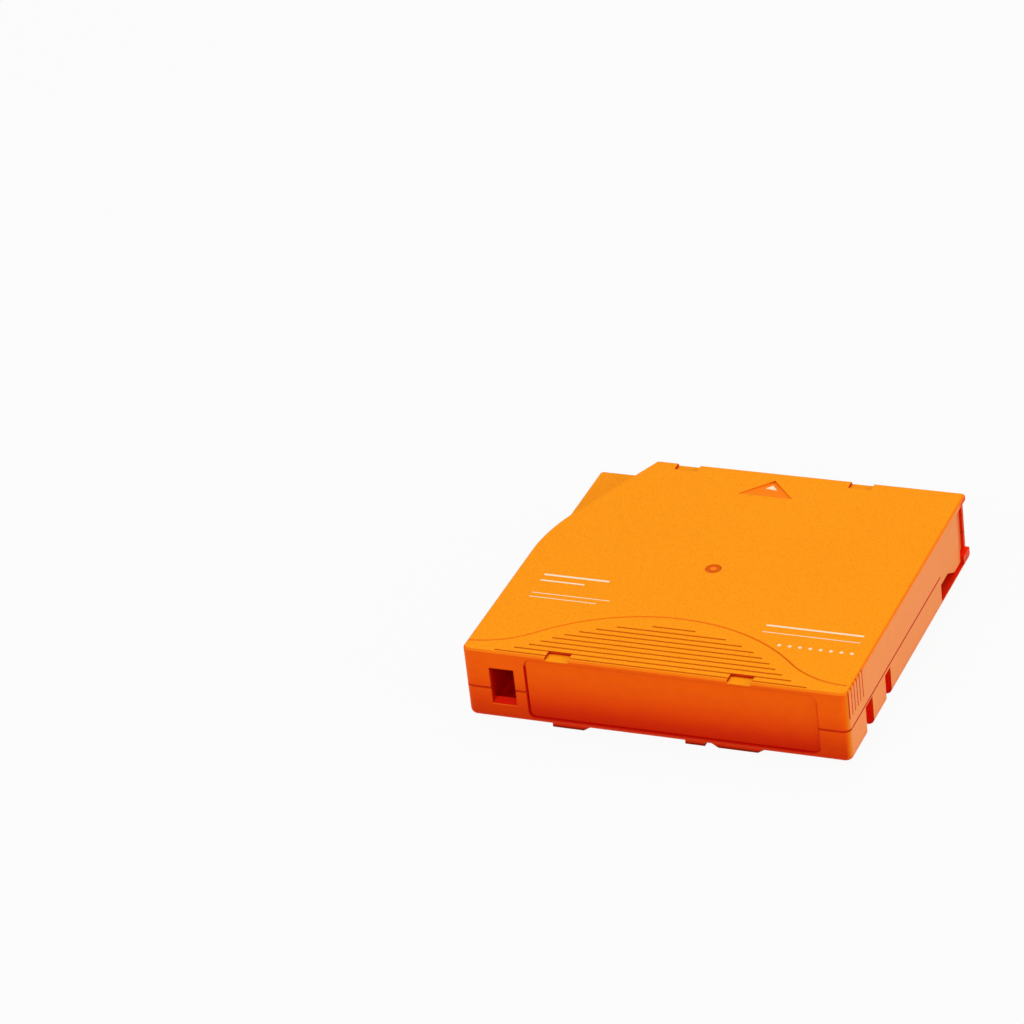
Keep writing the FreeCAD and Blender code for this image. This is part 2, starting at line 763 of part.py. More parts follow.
def bell_line(body):
    """The bell-shaped groove on the roof: a crown arc that flares into two more arcs."""
    flare = "((bell_half_width ^ 2 + bell_height ^ 2) / (2 * bell_height) - bell_crown_radius)"
    base_y = f"({REAR} + bell_inset)"
    crown_y = f"({base_y} + bell_height - bell_crown_radius)"
    flare_y = f"({base_y} + {flare})"
    path = new_sketch(body, "bell_path", "case_height")
    crown = vector("bell_x", crown_y)
    left = vector("bell_x - bell_half_width", flare_y)
    right = vector("bell_x + bell_half_width", flare_y)
    lean = math.atan2(left.y - crown.y, right.x - crown.x)
    up = FreeCAD.Vector(0, 0, 1)
    flare_r = number(flare)
    for middle, radius, a0, a1 in (
        (left, flare_r, -math.pi / 2, -lean),
        (crown, number("bell_crown_radius"), lean, math.pi - lean),
        (right, flare_r, math.pi + lean, 1.5 * math.pi),
    ):
        path.addGeometry(Part.ArcOfCircle(Part.Circle(middle, up, radius), a0, a1), False)
    place(path, 1, 3, "bell_x", crown_y)
    rule(path, "Radius", 1, "bell_crown_radius")
    place(path, 0, 3, x="bell_x - bell_half_width")
    place(path, 0, 1, "bell_x - bell_half_width", base_y)
    place(path, 2, 3, x="bell_x + bell_half_width")
    place(path, 2, 2, "bell_x + bell_half_width", base_y)
    path.addConstraint(Sketcher.Constraint("Tangent", 0, 2, 1, 2))
    path.addConstraint(Sketcher.Constraint("Tangent", 1, 1, 2, 1))
    section = new_sketch(body, "bell_section", "bell_x - bell_half_width", "YZ_Plane")
    polygon(section, [
        (f"{base_y} - bell_line_width", "case_height + bell_line_depth"),
        (base_y, "case_height - bell_line_depth"),
        (f"{base_y} + bell_line_width", "case_height + bell_line_depth"),
    ])
    doc.recompute()
    groove = body.newObject("PartDesign::SubtractivePipe", "bell_groove")
    groove.Profile = section
    groove.Spine = (path, ["Edge1", "Edge2", "Edge3"])
    return settle(groove, body, -1)


def grip_grooves(body):
    """Ten straight grooves inside the bell, each ending on a curve set in from the bell line."""
    flare = "((bell_half_width ^ 2 + bell_height ^ 2) / (2 * bell_height) - bell_crown_radius)"
    base_y = f"({REAR} + bell_inset)"
    crown_y = f"({base_y} + bell_height - bell_crown_radius)"
    flare_y = f"({base_y} + {flare})"
    crown_r = "(bell_crown_radius - grip_margin)"
    flare_r = f"({flare} + grip_margin)"
    turn_y = f"({crown_y} + {crown_r} * (1 - bell_height / (bell_crown_radius + {flare})))"
    grooves = new_sketch(body, "grip_grooves", "case_height")
    for index in range(GRIP_COUNT):
        y = f"({REAR} + grip_inset + {index} * grip_pitch)"
        if number(y) > number(turn_y):
            half = f"sqrt({crown_r} ^ 2 - ({y} - {crown_y}) ^ 2)"
        else:
            half = f"(bell_half_width - sqrt({flare_r} ^ 2 - ({flare_y} - {y}) ^ 2))"
        y0 = f"{y} - grip_width / 2"
        rectangle(grooves, f"bell_x - {half}", f"bell_x + {half}", y0, f"{y} + grip_width / 2")
    pocket(body, grooves, "grip_depth")


def side_grips(body, side):
    word = "left" if side < 0 else "right"
    top = f"case_height + {MARGIN}"
    grooves = new_sketch(body, f"{word}_side_grips", f"{side} * {RIGHT}", "YZ_Plane")
    for index in range(SIDE_GRIP_COUNT):
        y = f"({REAR} + side_grip_inset + {index} * grip_pitch)"
        rectangle(grooves, f"{y} - grip_width / 2", f"{y} + grip_width / 2", "side_grip_bottom", top)
    pocket(body, grooves, "side_grip_depth", up=side < 0)


def arrow(body):
    """Arrow that points into the drive, sunk deepest at its tip."""
    wedge = body.newObject("PartDesign::SubtractiveWedge", "arrow")
    tie(wedge, "Placement.Base.y", f"{FRONT} - arrow_inset - arrow_length")
    tie(wedge, "Placement.Base.z", "case_height")
    for path, text in (
        ("Xmin", "-arrow_width / 2"), ("Xmax", "arrow_width / 2"),
        ("Ymin", "0"), ("Ymax", "arrow_length"),
        ("Zmin", "-arrow_base_depth"), ("Zmax", "arrow_depth"),
        ("X2min", "0"), ("X2max", "0"),
        ("Z2min", "-arrow_depth"), ("Z2max", "arrow_depth"),
    ):
        tie(wedge, path, text)
    return settle(wedge, body, -1)


def upper_shell():
    body = new_body("upper_shell")
    outline = new_sketch(body, "upper_outline", "parting_height")
    rounded_rectangle(outline, LEFT, RIGHT, REAR, FRONT, "corner_round", "front_round")
    pad(body, outline, "case_height - parting_height")
    step = new_sketch(body, "guide_step", "case_height")
    guide_outline(step, "0", [
        (f"{LEFT} - {MARGIN}", f"{FRONT} + {MARGIN}"),
        (f"{LEFT} - {MARGIN}", "0"),
    ], f"{FRONT} + {MARGIN}")
    stepped = pocket(body, step, "guide_drop")
    dress_edges(body, stepped, "Chamfer", "Size", "top_edge_bevel", "case_height")

    under = new_sketch(body, "under_ledge", "parting_height")
    rectangle(under, f"{LEFT} + wall", f"{RIGHT} - wall", f"{REAR} + wall", f"{FRONT} - wall")
    pocket(body, under, f"{LEDGE} - ledge_thick - parting_height", up=True)
    inside = new_sketch(body, "under_roof", "parting_height")
    guide_outline(inside, "wall", [
        (f"{RIGHT} - wall", f"{FRONT} - wall"),
        (f"{RIGHT} - wall", f"{REAR} + wall"),
        (f"{LEFT} + wall", f"{REAR} + wall"),
    ], f"{FRONT} - wall")
    pocket(body, inside, f"{ROOF} - parting_height", up=True)

    posts = new_sketch(body, "upper_posts", "parting_height")
    screw_squares(posts, "post_half", SCREWS)
    pad(body, posts, f"{LEDGE} - ledge_thick / 2 - parting_height")
    tall = new_sketch(body, "tall_posts", "parting_height")
    screw_squares(tall, "post_half", [SCREWS[0], SCREWS[1], SCREWS[3]])
    pad(body, tall, f"{ROOF} + roof_thick / 2 - parting_height")
    pilots = new_sketch(body, "pilot_holes", "parting_height")
    screw_squares(pilots, "(screw_radius + pilot_gap)", SCREWS)
    pocket(body, pilots, f"{SCREW_TIP} - parting_height", up=True)

    chamber(body, f"{ROOF} + roof_thick / 2", f"{ROOF} + roof_thick / 2 - parting_height", down=True)
    door_run(body, "parting_height", f"{ROOF} - parting_height", up=True)
    corner_cut(body, "parting_height", f"{ROOF} - parting_height", up=True)
    door_rail(body, ROOF, down=True)
    pin_seat(body, ROOF, down=True)

    key = new_sketch(body, "brake_key", f"{ROOF} + roof_thick / 2")
    key_x0 = "reel_axis_x - key_length / 2"
    rectangle(key, key_x0, "reel_axis_x + key_length / 2", "-key_width / 2", "key_width / 2")
    pad(body, key, f"{ROOF} + roof_thick / 2 - {KEY_END}", down=True)

    rear_face(body, "label_depth", f"parting_height - {MARGIN}", "case_height - window_top_inset")
    panel = new_sketch(body, "label_panel", f"-{REAR} - label_depth", "XZ_Plane")
    rounded_rectangle(
        panel, f"{LABEL_X0} + panel_gap", f"{LABEL_X1} - panel_gap", "label_bottom + panel_gap",
        f"{LABEL_TOP} - panel_gap", "label_round",
    )
    pad(body, panel, "wall - label_depth", down=True)
    notches = new_sketch(body, "stack_notches", "case_height")
    notch_rectangles(notches)
    pocket(body, notches, "notch_drop")
    bell_line(body)
    grip_grooves(body)
    side_grips(body, -1)
    side_grips(body, 1)
    arrow(body)
    gate = new_sketch(body, "gate_mark", "case_height")
    many_sided(gate, "reel_axis_x", "0", "gate_radius", GATE_SIDES)
    many_sided(gate, "reel_axis_x", "0", "gate_land_radius", GATE_SIDES)
    pocket(body, gate, "gate_depth")
    return body


def tooth(body, name, kind, inner, outer, base, height):
    """One radial tooth between two edges of a ring; a negative height points it down."""
    profile = new_sketch(body, name, f"{inner} + tooth_end", "YZ_Plane")
    polygon(profile, [
        (f"-{kind}_root / 2", base),
        (f"{kind}_root / 2", base),
        ("0", f"{base} + {height}"),
    ])
    return pad(body, profile, f"{outer} - {inner} - 2 * tooth_end")


def leg_square(sketch, half):
    rectangle(sketch, f"leg_circle - {half}", f"leg_circle + {half}", f"-{half}", half)


def reel_hub():
    body = new_body("reel_hub", on_reel_axis=True, turn=HALF_PITCH)
    profile = new_sketch(body, "hub_profile", plane="XZ_Plane")
    ring_inner = f"({BORE} - brake_ring)"
    polygon(profile, [
        ("0", WEB_BASE),
        ("gear_inner", WEB_BASE),
        ("gear_inner", GEAR_BASE),
        ("gear_outer", GEAR_BASE),
        ("gear_outer", REEL_BASE),
        (FLANGE, REEL_BASE),
        (FLANGE, f"{REEL_BASE} + flange_thick"),
        ("hub_radius", f"{REEL_BASE} + flange_thick"),
        ("hub_radius", HUB_TOP),
        (BORE, HUB_TOP),
        (BORE, RING_TOP),
        (ring_inner, RING_TOP),
        (ring_inner, WEB_TOP),
        ("0", WEB_TOP),
    ])
    revolve(body, profile)
    drive = tooth(body, "drive_tooth", "tooth", "gear_inner", "gear_outer", GEAR_BASE, "(-tooth_height)")
    polar(body, drive, DRIVE_TEETH)
    brake = tooth(body, "brake_tooth", "stop", ring_inner, BORE, RING_TOP, "tooth_height")
    polar(body, brake, BRAKE_TEETH)
    hole = new_sketch(body, "leg_hole", WEB_TOP)
    leg_square(hole, "(leg_half + leg_gap)")
    cut = pocket(body, hole, f"{WEB_TOP} - {GEAR_BASE} + tooth_height + {MARGIN}")
    polar(body, cut, PAD_LEGS)
    return body


def ring_node(label, inner, outer, base, top):
    """A plain ring about the reel axis."""
    body = new_body(label, on_reel_axis=True)
    profile = new_sketch(body, f"{label}_profile", plane="XZ_Plane")
    rectangle(profile, inner, outer, base, top)
    revolve(body, profile)
    return body


def brake_button():
    body = new_body("brake_button", on_reel_axis=True)
    profile = new_sketch(body, "brake_profile", plane="XZ_Plane")
    rim = f"({BORE} - brake_clearance)"
    polygon(profile, [
        ("0", BRAKE_BASE),
        (rim, BRAKE_BASE),
        (rim, BRAKE_TOP),
        ("0", BRAKE_TOP),
    ])
    revolve(body, profile)
    half_x = "(key_length / 2 + key_gap)"
    half_y = "(key_width / 2 + key_gap)"
    boss = new_sketch(body, "brake_boss", BRAKE_TOP)
    rectangle(boss, f"-{half_x} - brake_boss_wall", f"{half_x} + brake_boss_wall",
              f"-{half_y} - brake_boss_wall", f"{half_y} + brake_boss_wall")
    pad(body, boss, "brake_boss_height")
    slot = new_sketch(body, "key_slot", BOSS_TOP)
    rectangle(slot, f"-{half_x}", half_x, f"-{half_y}", half_y)
    pocket(body, slot, f"{BOSS_TOP} - {BRAKE_TOP} - brake_thick / 2")
    inner = f"({BORE} - brake_ring + brake_clearance)"
    first = tooth(body, "stop_tooth", "stop", inner, rim, BRAKE_BASE, "(-tooth_height)")
    polar(body, first, BRAKE_TEETH)
    return body


def coil(radius, base, top, turns):
    """Points along a round coil of straight steps."""
    steps = int(round(turns * COIL_STEPS))
    points = []
    for step in range(steps + 1):
        angle = 2 * math.pi * step / COIL_STEPS
        rise = base + (top - base) * step / steps
        points.append(FreeCAD.Vector(radius * math.cos(angle), radius * math.sin(angle), rise))
    return points


def wire_along(points, wire):
    """A bent wire of many-sided section along a chain of points."""
    start, following = points[0], points[1]
    along = (following - start).normalize()
    side = along.cross(FreeCAD.Vector(0, 0, 1)).normalize()
    across = along.cross(side)
    corners = []
    for index in range(WIRE_SIDES + 1):
        angle = 2 * math.pi * index / WIRE_SIDES
        corners.append(start + (side * math.cos(angle) + across * math.sin(angle)) * (wire / 2))
    sweep = Part.BRepOffsetAPI.MakePipeShell(Part.makePolygon(points))
    sweep.setTransitionMode(1)
    sweep.add(Part.makePolygon(corners))
    sweep.build()
    sweep.makeSolid()
    return sweep.shape()


def brake_spring():
    wire = number("brake_wire")
    base = number(BRAKE_TOP) + wire * WIRE_STAND
    top = number(ROOF) - wire * WIRE_STAND
    points = coil(number("brake_coil_radius"), base, top, BRAKE_TURNS)
    return shape_node("brake_spring", wire_along(points, wire), on_reel_axis=True)


def release_pad():
    body = new_body("release_pad", on_reel_axis=True, turn=HALF_PITCH)
    base = f"({WEB_TOP} + brake_gap)"
    core = new_sketch(body, "pad_core", base)
    many_sided(core, "0", "0", "pad_radius", 2 * PAD_LEGS)
    pad(body, core, f"{BRAKE_BASE} - brake_gap - {base}")
    arm = new_sketch(body, "pad_arm", base)
    rectangle(arm, "0", "leg_circle + leg_half", "-pad_arm_width / 2", "pad_arm_width / 2")
    polar(body, pad(body, arm, "pad_arm_thick"), PAD_LEGS)
    leg = new_sketch(body, "pad_leg", base)
    leg_square(leg, "leg_half")
    polar(body, pad(body, leg, f"{base} - {GEAR_BASE} + tooth_height", down=True), PAD_LEGS)
    return body


def access_door():
    """Panel that closes the port, notched below where the drive reaches in to push it back."""
    body = new_body("access_door")
    plate = new_sketch(body, "door_plate", DOOR_IN, "YZ_Plane")
    low = f"({FLOOR} + door_edge_gap)"
    high = f"({ROOF} - door_edge_gap)"
    nose = f"({FRONT} - corner_block_length - door_gap)"
    slope_end = f"({PORT} + channel_front)"
    polygon(plate, [
        (DOOR_REAR, low),
        (f"{PORT} - door_thick", low),
        (f"{PORT} - door_thick", "channel_top"),
        (f"{slope_end} - channel_slope", "channel_top"),
        (slope_end, "channel_low"),
        (nose, "channel_low"),
        (nose, "corner_block_height + door_edge_gap"),
        (DOOR_FRONT, "corner_block_height + door_edge_gap"),
        (DOOR_FRONT, high),
        (DOOR_REAR, high),
    ])
    pad(body, plate, "door_thick")
    taper = new_sketch(body, "door_nose", f"{high} + {MARGIN}")
    polygon(taper, [
        (DOOR_OUT, f"{DOOR_FRONT} - door_nose_length"),
        (f"{DOOR_OUT} + {MARGIN}", f"{DOOR_FRONT} - door_nose_length"),
        (f"{DOOR_OUT} + {MARGIN}", f"{DOOR_FRONT} + {MARGIN}"),
        (f"{DOOR_OUT} - door_nose_depth", f"{DOOR_FRONT} + {MARGIN}"),
        (f"{DOOR_OUT} - door_nose_depth", f"{DOOR_FRONT} - door_nose_length + door_nose_depth"),
    ])
    pocket(body, taper, f"{ROOF} + {MARGIN}")
    lug_base = f"({FLOOR} + rail_height + door_edge_gap)"
    lug = new_sketch(body, "door_lug", lug_base)
    y1 = f"({DOOR_FRONT} - lug_inset + lug_width)"
    rectangle(lug, f"{DOOR_IN} - lug_reach", f"{DOOR_IN} + door_thick / 2", f"{y1} - lug_width", y1)
    pad(body, lug, f"channel_top - {lug_base}")
    return body


def door_spring():
    """Torsion spring on its post: one leg behind the door's lug, the other against the rail."""
    wire = number("door_wire")
    radius = number("door_coil_radius")
    centre = vector(SPRING_X, SPRING_Y)
    base = number(FLOOR) + wire
    rise = wire * WIRE_RISE
    stand = wire * WIRE_STAND
    tip_y = number(f"{DOOR_FRONT} - lug_inset") - stand
    tip = FreeCAD.Vector(number(f"{DOOR_IN} - lug_reach / 2"), tip_y, 0)
    heel_x = number(f"{DOOR_IN} - door_edge_gap - rail_width") - stand
    heel = FreeCAD.Vector(heel_x, number(f"{SPRING_Y} - lug_inset"), 0)
    tip_angle = tangent_angle(centre, tip, radius, 1)
    heel_angle = tangent_angle(centre, heel, radius, -1)
    turns = (tip_angle - heel_angle) / (2 * math.pi)
    turns += math.ceil(DOOR_TURNS - turns)
    steps = int(round(turns * COIL_STEPS))
    points = [heel + FreeCAD.Vector(0, 0, base)]
    for step in range(steps + 1):
        angle = heel_angle + 2 * math.pi * turns * step / steps
        height = base + rise * turns * step / steps
        points.append(centre + FreeCAD.Vector(radius * math.cos(angle), radius * math.sin(angle), height))
    points.append(tip + FreeCAD.Vector(0, 0, base + rise * turns))
    return shape_node("door_spring", wire_along(points, wire))


def tangent_angle(centre, point, radius, side):
    """Angle at which a tangent from a point meets a circle, on the given side."""
    away = point - centre
    return math.atan2(away.y, away.x) - side * math.acos(radius / away.Length)


def leader_pin():
    body = new_body("leader_pin")
    tie(body, "Placement.Base.x", PIN_X)
    tie(body, "Placement.Base.y", PIN_Y)
    profile = new_sketch(body, "pin_profile", plane="XZ_Plane")
    polygon(profile, [
        ("0", PIN_BASE),
        ("pin_flange_radius", PIN_BASE),
        ("pin_flange_radius", f"{PIN_BASE} + pin_flange_thick"),
        ("pin_radius", f"{PIN_BASE} + pin_flange_thick"),
        ("pin_radius", f"{PIN_TOP} - pin_flange_thick"),
        ("pin_flange_radius", f"{PIN_TOP} - pin_flange_thick"),
        ("pin_flange_radius", PIN_TOP),
        ("0", PIN_TOP),
    ])
    revolve(body, profile)
    return body


def leader_line():
    """Where the tape leaves the pack, and the way from there to the pin."""
    axis = vector("reel_axis_x", "0")
    pin = vector(PIN_X, PIN_Y)
    radius = number("pack_radius + wind_gap + leader_thick / 2")
    angle = tangent_angle(axis, pin, radius, -1)
    start = axis + FreeCAD.Vector(radius * math.cos(angle), radius * math.sin(angle), 0)
    return start, (pin - start).normalize(), (pin - start).Length


def leader_clip():
    """Plastic clamp on the pin, open where the tape comes in."""
    start, way, length = leader_line()
    body = new_body("leader_clip", turn=math.degrees(math.atan2(way.y, way.x)))
    tie(body, "Placement.Base.x", PIN_X)
    tie(body, "Placement.Base.y", PIN_Y)
    ring = new_sketch(body, "clip_ring", f"{TAPE_BASE} + clip_play / 2")
    inner = "(pin_radius + wind_gap)"
    outer = f"({inner} + clip_thick)"
    ring_sector(ring, "0", "0", inner, outer, 0, 180 - number("clip_mouth") / 2, CLIP_SIDES)
    pad(body, ring, f"{TAPE_TOP} - {TAPE_BASE} - clip_play")
    return body


def tape_leader():
    """The outer end of the tape, straight from the pack to the pin."""
    start, way, length = leader_line()
    width = number(f"{TAPE_TOP} - {TAPE_BASE}")
    thick = number("leader_thick")
    reach = length - number("pin_radius + wind_gap")
    strip = Part.makeBox(reach, thick, width, FreeCAD.Vector(0, -thick / 2, 0))
    strip.rotate(FreeCAD.Vector(0, 0, 0), FreeCAD.Vector(0, 0, 1), math.degrees(math.atan2(way.y, way.x)))
    strip.translate(start + FreeCAD.Vector(0, 0, number(TAPE_BASE)))
    return shape_node("tape_leader", strip)


def pin_spring(label, base):
    """Leaf spring against the front wall, whose arm holds one end of the leader pin in its seat."""
    body = new_body(label)
    leaf = new_sketch(body, f"{label}_leaf", base)
    back = f"({FRONT} - wall - leaf_thick / 2)"
    bend_x = f"({DOOR_IN} - lug_reach - leaf_thick)"
    reach = "(pin_flange_radius + leaf_thick / 2)"
    tip_x = f"({PIN_X} + {reach} * sqrt(0.5))"
    tip_y = f"({PIN_Y} + {reach} * sqrt(0.5))"
    polygon(leaf, [
        (f"{bend_x} - leaf_length", back),
        (f"{bend_x} - leaf_length", f"{back} - leaf_thick"),
        (f"{bend_x} - 2 * leaf_thick", f"{back} - leaf_thick"),
        (tip_x, tip_y),
        (f"{tip_x} + leaf_thick", f"{tip_y} - leaf_thick"),
        (bend_x, back),
    ])
    pad(body, leaf, "leaf_height")
    return body


def on_board(shape):
    """Lays a shape that is drawn flat on the slanted memory board."""
    shape.rotate(FreeCAD.Vector(0, 0, 0), FreeCAD.Vector(1, 0, 0), BOARD_TILT)
    shape.translate(vector(BOARD_X, BOARD_Y) + FreeCAD.Vector(0, 0, number(FLOOR)))
    return shape


def memory_board():
    length = number("board_length")
    height = number("board_height")
    thick = number("board_thick")
    flat = Part.makeBox(length, height, thick, FreeCAD.Vector(-length / 2, thick, 0))
    return shape_node("memory_board", on_board(flat))


def memory_chip():
    side = number("chip_length")
    thick = number("chip_thick")
    middle = number("board_thick + board_height / 2")
    corner = FreeCAD.Vector(-side / 2, middle - side / 2, number("board_thick"))
    flat = Part.makeBox(side, side, thick, corner)
    return shape_node("memory_chip", on_board(flat))


def memory_coil():
    """Antenna track round the edge of the board."""
    length = number("board_length - 2 * coil_margin")
    height = number("board_height - 2 * coil_margin")
    track = number("coil_track")
    thick = number("coil_thick")
    corner = FreeCAD.Vector(-length / 2, number("board_thick + coil_margin"), number("board_thick"))
    outer = Part.makeBox(length, height, thick, corner)
    corner += FreeCAD.Vector(track, track, 0)
    inner = Part.makeBox(length - 2 * track, height - 2 * track, thick, corner)
    return shape_node("memory_coil", on_board(outer.cut(inner)))


def case_screws():
    """Four screws, driven up from below."""
    body = new_body("case_screw")
    head = new_sketch(body, "screw_head", SCREW_SEAT)
    many_sided(head, "0", "0", "screw_head_radius", SCREW_SIDES)
    pad(body, head, "screw_head_height", down=True)
    shank = new_sketch(body, "screw_shank", SCREW_SEAT)
    many_sided(shank, "0", "0", "screw_radius", POST_SIDES)
    pad(body, shank, f"{SCREW_TIP} - screw_gap - {SCREW_SEAT}")
    screws = [body.Shape.translated(vector(x, y)) for x, y in SCREWS]
    return shape_node("case_screws", Part.makeCompound(screws))


nodes = [
    lower_shell(),
    upper_shell(),
    reel_hub(),
    ring_node("upper_flange", BORE, FLANGE, HUB_TOP, f"{HUB_TOP} + flange_thick"),
    ring_node("reel_plate", "plate_inner", "plate_outer", f"{WEB_BASE} - plate_thick", WEB_BASE),
    ring_node("cleaning_tape", "hub_radius + wind_gap", "pack_radius", TAPE_BASE, TAPE_TOP),
    brake_button(),
    brake_spring(),
    release_pad(),
    access_door(),
    door_spring(),
    leader_pin(),
    leader_clip(),
    tape_leader(),
    pin_spring("pin_spring_lower", PIN_BASE),
    pin_spring("pin_spring_upper", f"{PIN_TOP} - leaf_height"),
    memory_board(),
    memory_chip(),
    memory_coil(),
    case_screws(),
]
doc.recompute()

for item in doc.Objects:
    if "Invalid" in item.State or "Error" in item.State:
        raise RuntimeError(f"{item.Name}: {item.State}")
for node in nodes:
    if node.Shape.isNull() or not node.Shape.isValid():
        raise RuntimeError(f"{node.Label} has no valid shape")

os.makedirs("parts", exist_ok=True)
for node in nodes:
    node.Shape.exportStep(os.path.join("parts", f"{node.Label}.step"))
    print(f"{node.Label}: {node.Shape.Volume:.1f} cubic mm")
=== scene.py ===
import json
import math

import bmesh
import bpy
from mathutils import Euler, Matrix, Vector


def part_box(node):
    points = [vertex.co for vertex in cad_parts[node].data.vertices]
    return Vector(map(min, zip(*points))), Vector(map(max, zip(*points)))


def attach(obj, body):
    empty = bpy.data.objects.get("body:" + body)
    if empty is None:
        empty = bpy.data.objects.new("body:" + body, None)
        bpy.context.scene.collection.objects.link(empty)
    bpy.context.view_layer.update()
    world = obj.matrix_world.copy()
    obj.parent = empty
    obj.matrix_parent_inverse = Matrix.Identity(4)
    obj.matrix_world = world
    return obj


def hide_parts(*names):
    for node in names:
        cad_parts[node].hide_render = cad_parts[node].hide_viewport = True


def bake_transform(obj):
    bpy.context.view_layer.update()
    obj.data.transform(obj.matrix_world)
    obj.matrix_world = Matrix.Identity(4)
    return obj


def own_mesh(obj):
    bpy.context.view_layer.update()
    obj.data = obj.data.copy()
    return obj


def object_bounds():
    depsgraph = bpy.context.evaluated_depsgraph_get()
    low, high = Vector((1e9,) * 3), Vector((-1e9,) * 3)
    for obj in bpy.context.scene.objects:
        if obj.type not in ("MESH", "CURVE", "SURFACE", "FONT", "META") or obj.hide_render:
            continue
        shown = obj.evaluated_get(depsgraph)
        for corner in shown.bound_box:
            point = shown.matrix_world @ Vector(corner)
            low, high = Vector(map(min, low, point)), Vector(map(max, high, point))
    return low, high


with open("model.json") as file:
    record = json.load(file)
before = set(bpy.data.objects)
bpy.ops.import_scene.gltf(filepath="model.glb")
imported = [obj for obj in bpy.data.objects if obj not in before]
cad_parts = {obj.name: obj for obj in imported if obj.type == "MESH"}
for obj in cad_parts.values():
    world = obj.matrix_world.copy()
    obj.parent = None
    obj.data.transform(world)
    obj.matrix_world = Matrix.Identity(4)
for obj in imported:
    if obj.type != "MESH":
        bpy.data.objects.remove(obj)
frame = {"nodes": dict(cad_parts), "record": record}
cadLow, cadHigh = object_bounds()
scene = bpy.context.scene
nodes = frame["nodes"]
mm = 0.001
weld = 0.0005 * mm            # points nearer than this count as one
reelAxisX = -1.1 * mm
white = (1.0, 1.0, 1.0)
print("frame loaded:", len(nodes), "nodes")


# camera

viewPoint = {
    "place": (0.41823, -1.01052, 0.67915),
    "turn": (59.735, 5.976, 21.728),     # degrees, XYZ order
    "lens": 169.95,
    "film": 36.0,
    "farthest": 20.0,
}


def setCamera():
    data = bpy.data.cameras.new("camera")
    data.lens = viewPoint["lens"]
    data.sensor_width = viewPoint["film"]
    data.sensor_fit = "HORIZONTAL"
    data.clip_end = viewPoint["farthest"]
    camera = bpy.data.objects.new("camera", data)
    camera.location = viewPoint["place"]
    camera.rotation_euler = Euler([math.radians(angle) for angle in viewPoint["turn"]], "XYZ")
    scene.collection.objects.link(camera)
    scene.camera = camera


setCamera()
print("camera set")


# node helpers

mixSockets = {"first": 6, "second": 7, "result": 2}     # the colour sockets of a Mix node


def startMaterial(name):
    material = bpy.data.materials.new(name)
    material.use_nodes = True
    tree = material.node_tree
    tree.nodes.clear()
    output = tree.nodes.new("ShaderNodeOutputMaterial")
    shader = tree.nodes.new("ShaderNodeBsdfPrincipled")
    tree.links.new(shader.outputs["BSDF"], output.inputs["Surface"])
    coords = tree.nodes.new("ShaderNodeTexCoord")
    return material, tree, shader, coords.outputs["Object"]


def noiseOn(tree, vector, scale, detail=2.0, rough=0.5):
    noise = tree.nodes.new("ShaderNodeTexNoise")
    noise.inputs["Scale"].default_value = scale
    noise.inputs["Detail"].default_value = detail
    noise.inputs["Roughness"].default_value = rough
    tree.links.new(vector, noise.inputs["Vector"])
    return noise.outputs["Fac"]


def rampOn(tree, value, stops):
    ramp = tree.nodes.new("ShaderNodeValToRGB")
    elements = ramp.color_ramp.elements
    while len(elements) < len(stops):
        elements.new(0.5)
    for element, (place, colour) in zip(elements, stops):
        element.position = place
        element.color = (*colour, 1.0)
    tree.links.new(value, ramp.inputs["Fac"])
    return ramp.outputs["Color"]


def twoTone(tree, value, stops, low, high):
    return rampOn(tree, value, list(zip(stops, (low, high))))


def rangeOn(tree, value, low, high, fromLow=0.0, fromHigh=1.0):
    node = tree.nodes.new("ShaderNodeMapRange")
    node.inputs["From Min"].default_value = fromLow
    node.inputs["From Max"].default_value = fromHigh
    node.inputs["To Min"].default_value = low
    node.inputs["To Max"].default_value = high
    tree.links.new(value, node.inputs["Value"])
    return node.outputs["Result"]


def riseOn(tree, value, low, high):
    # 0 below low, 1 above high
    return rangeOn(tree, value, 0.0, 1.0, low, high)


def fallOn(tree, value, low, high):
    # 1 below low, 0 above high
    return rangeOn(tree, value, 1.0, 0.0, low, high)


def blendOn(tree, kind, factor, first, second):
    node = tree.nodes.new("ShaderNodeMix")
    node.data_type = "RGBA"
    node.blend_type = kind
    if isinstance(factor, float):
        node.inputs["Factor"].default_value = factor
    else:
        tree.links.new(factor, node.inputs["Factor"])
    for key, value in (("first", first), ("second", second)):
        socket = node.inputs[mixSockets[key]]
        if isinstance(value, tuple):
            socket.default_value = (*value, 1.0)
        else:
            tree.links.new(value, socket)
    return node.outputs[mixSockets["result"]]


def tintOn(tree, mask, under, over):
    return blendOn(tree, "MIX", mask, under, over)


def mathOn(tree, kind, first, second=0.0):
    node = tree.nodes.new("ShaderNodeMath")
    node.operation = kind
    for socket, value in zip(node.inputs, (first, second)):
        if isinstance(value, (int, float)):
            socket.default_value = value
        else:
            tree.links.new(value, socket)
    return node.outputs["Value"]


def allOf(tree, mask, *others):
    # 1 only where every mask is 1
    for other in others:
        mask = mathOn(tree, "MULTIPLY", mask, other)
    return mask


def between(tree, value, low, high, fade):
    # 1 from low to high, fading to 0 outside them
    return allOf(tree, riseOn(tree, value, low - fade, low), fallOn(tree, value, high, high + fade))


def inBox(tree, place, low, high, fade):
    spans = zip(place, low, high)
    return allOf(tree, *(between(tree, value, first, last, fade) for value, first, last in spans))


def bumpOn(tree, height, strength, distance, normal=None):
    bump = tree.nodes.new("ShaderNodeBump")
    bump.inputs["Strength"].default_value = strength
    bump.inputs["Distance"].default_value = distance
    tree.links.new(height, bump.inputs["Height"])
    if normal is not None:
        tree.links.new(normal, bump.inputs["Normal"])
    return bump.outputs["Normal"]


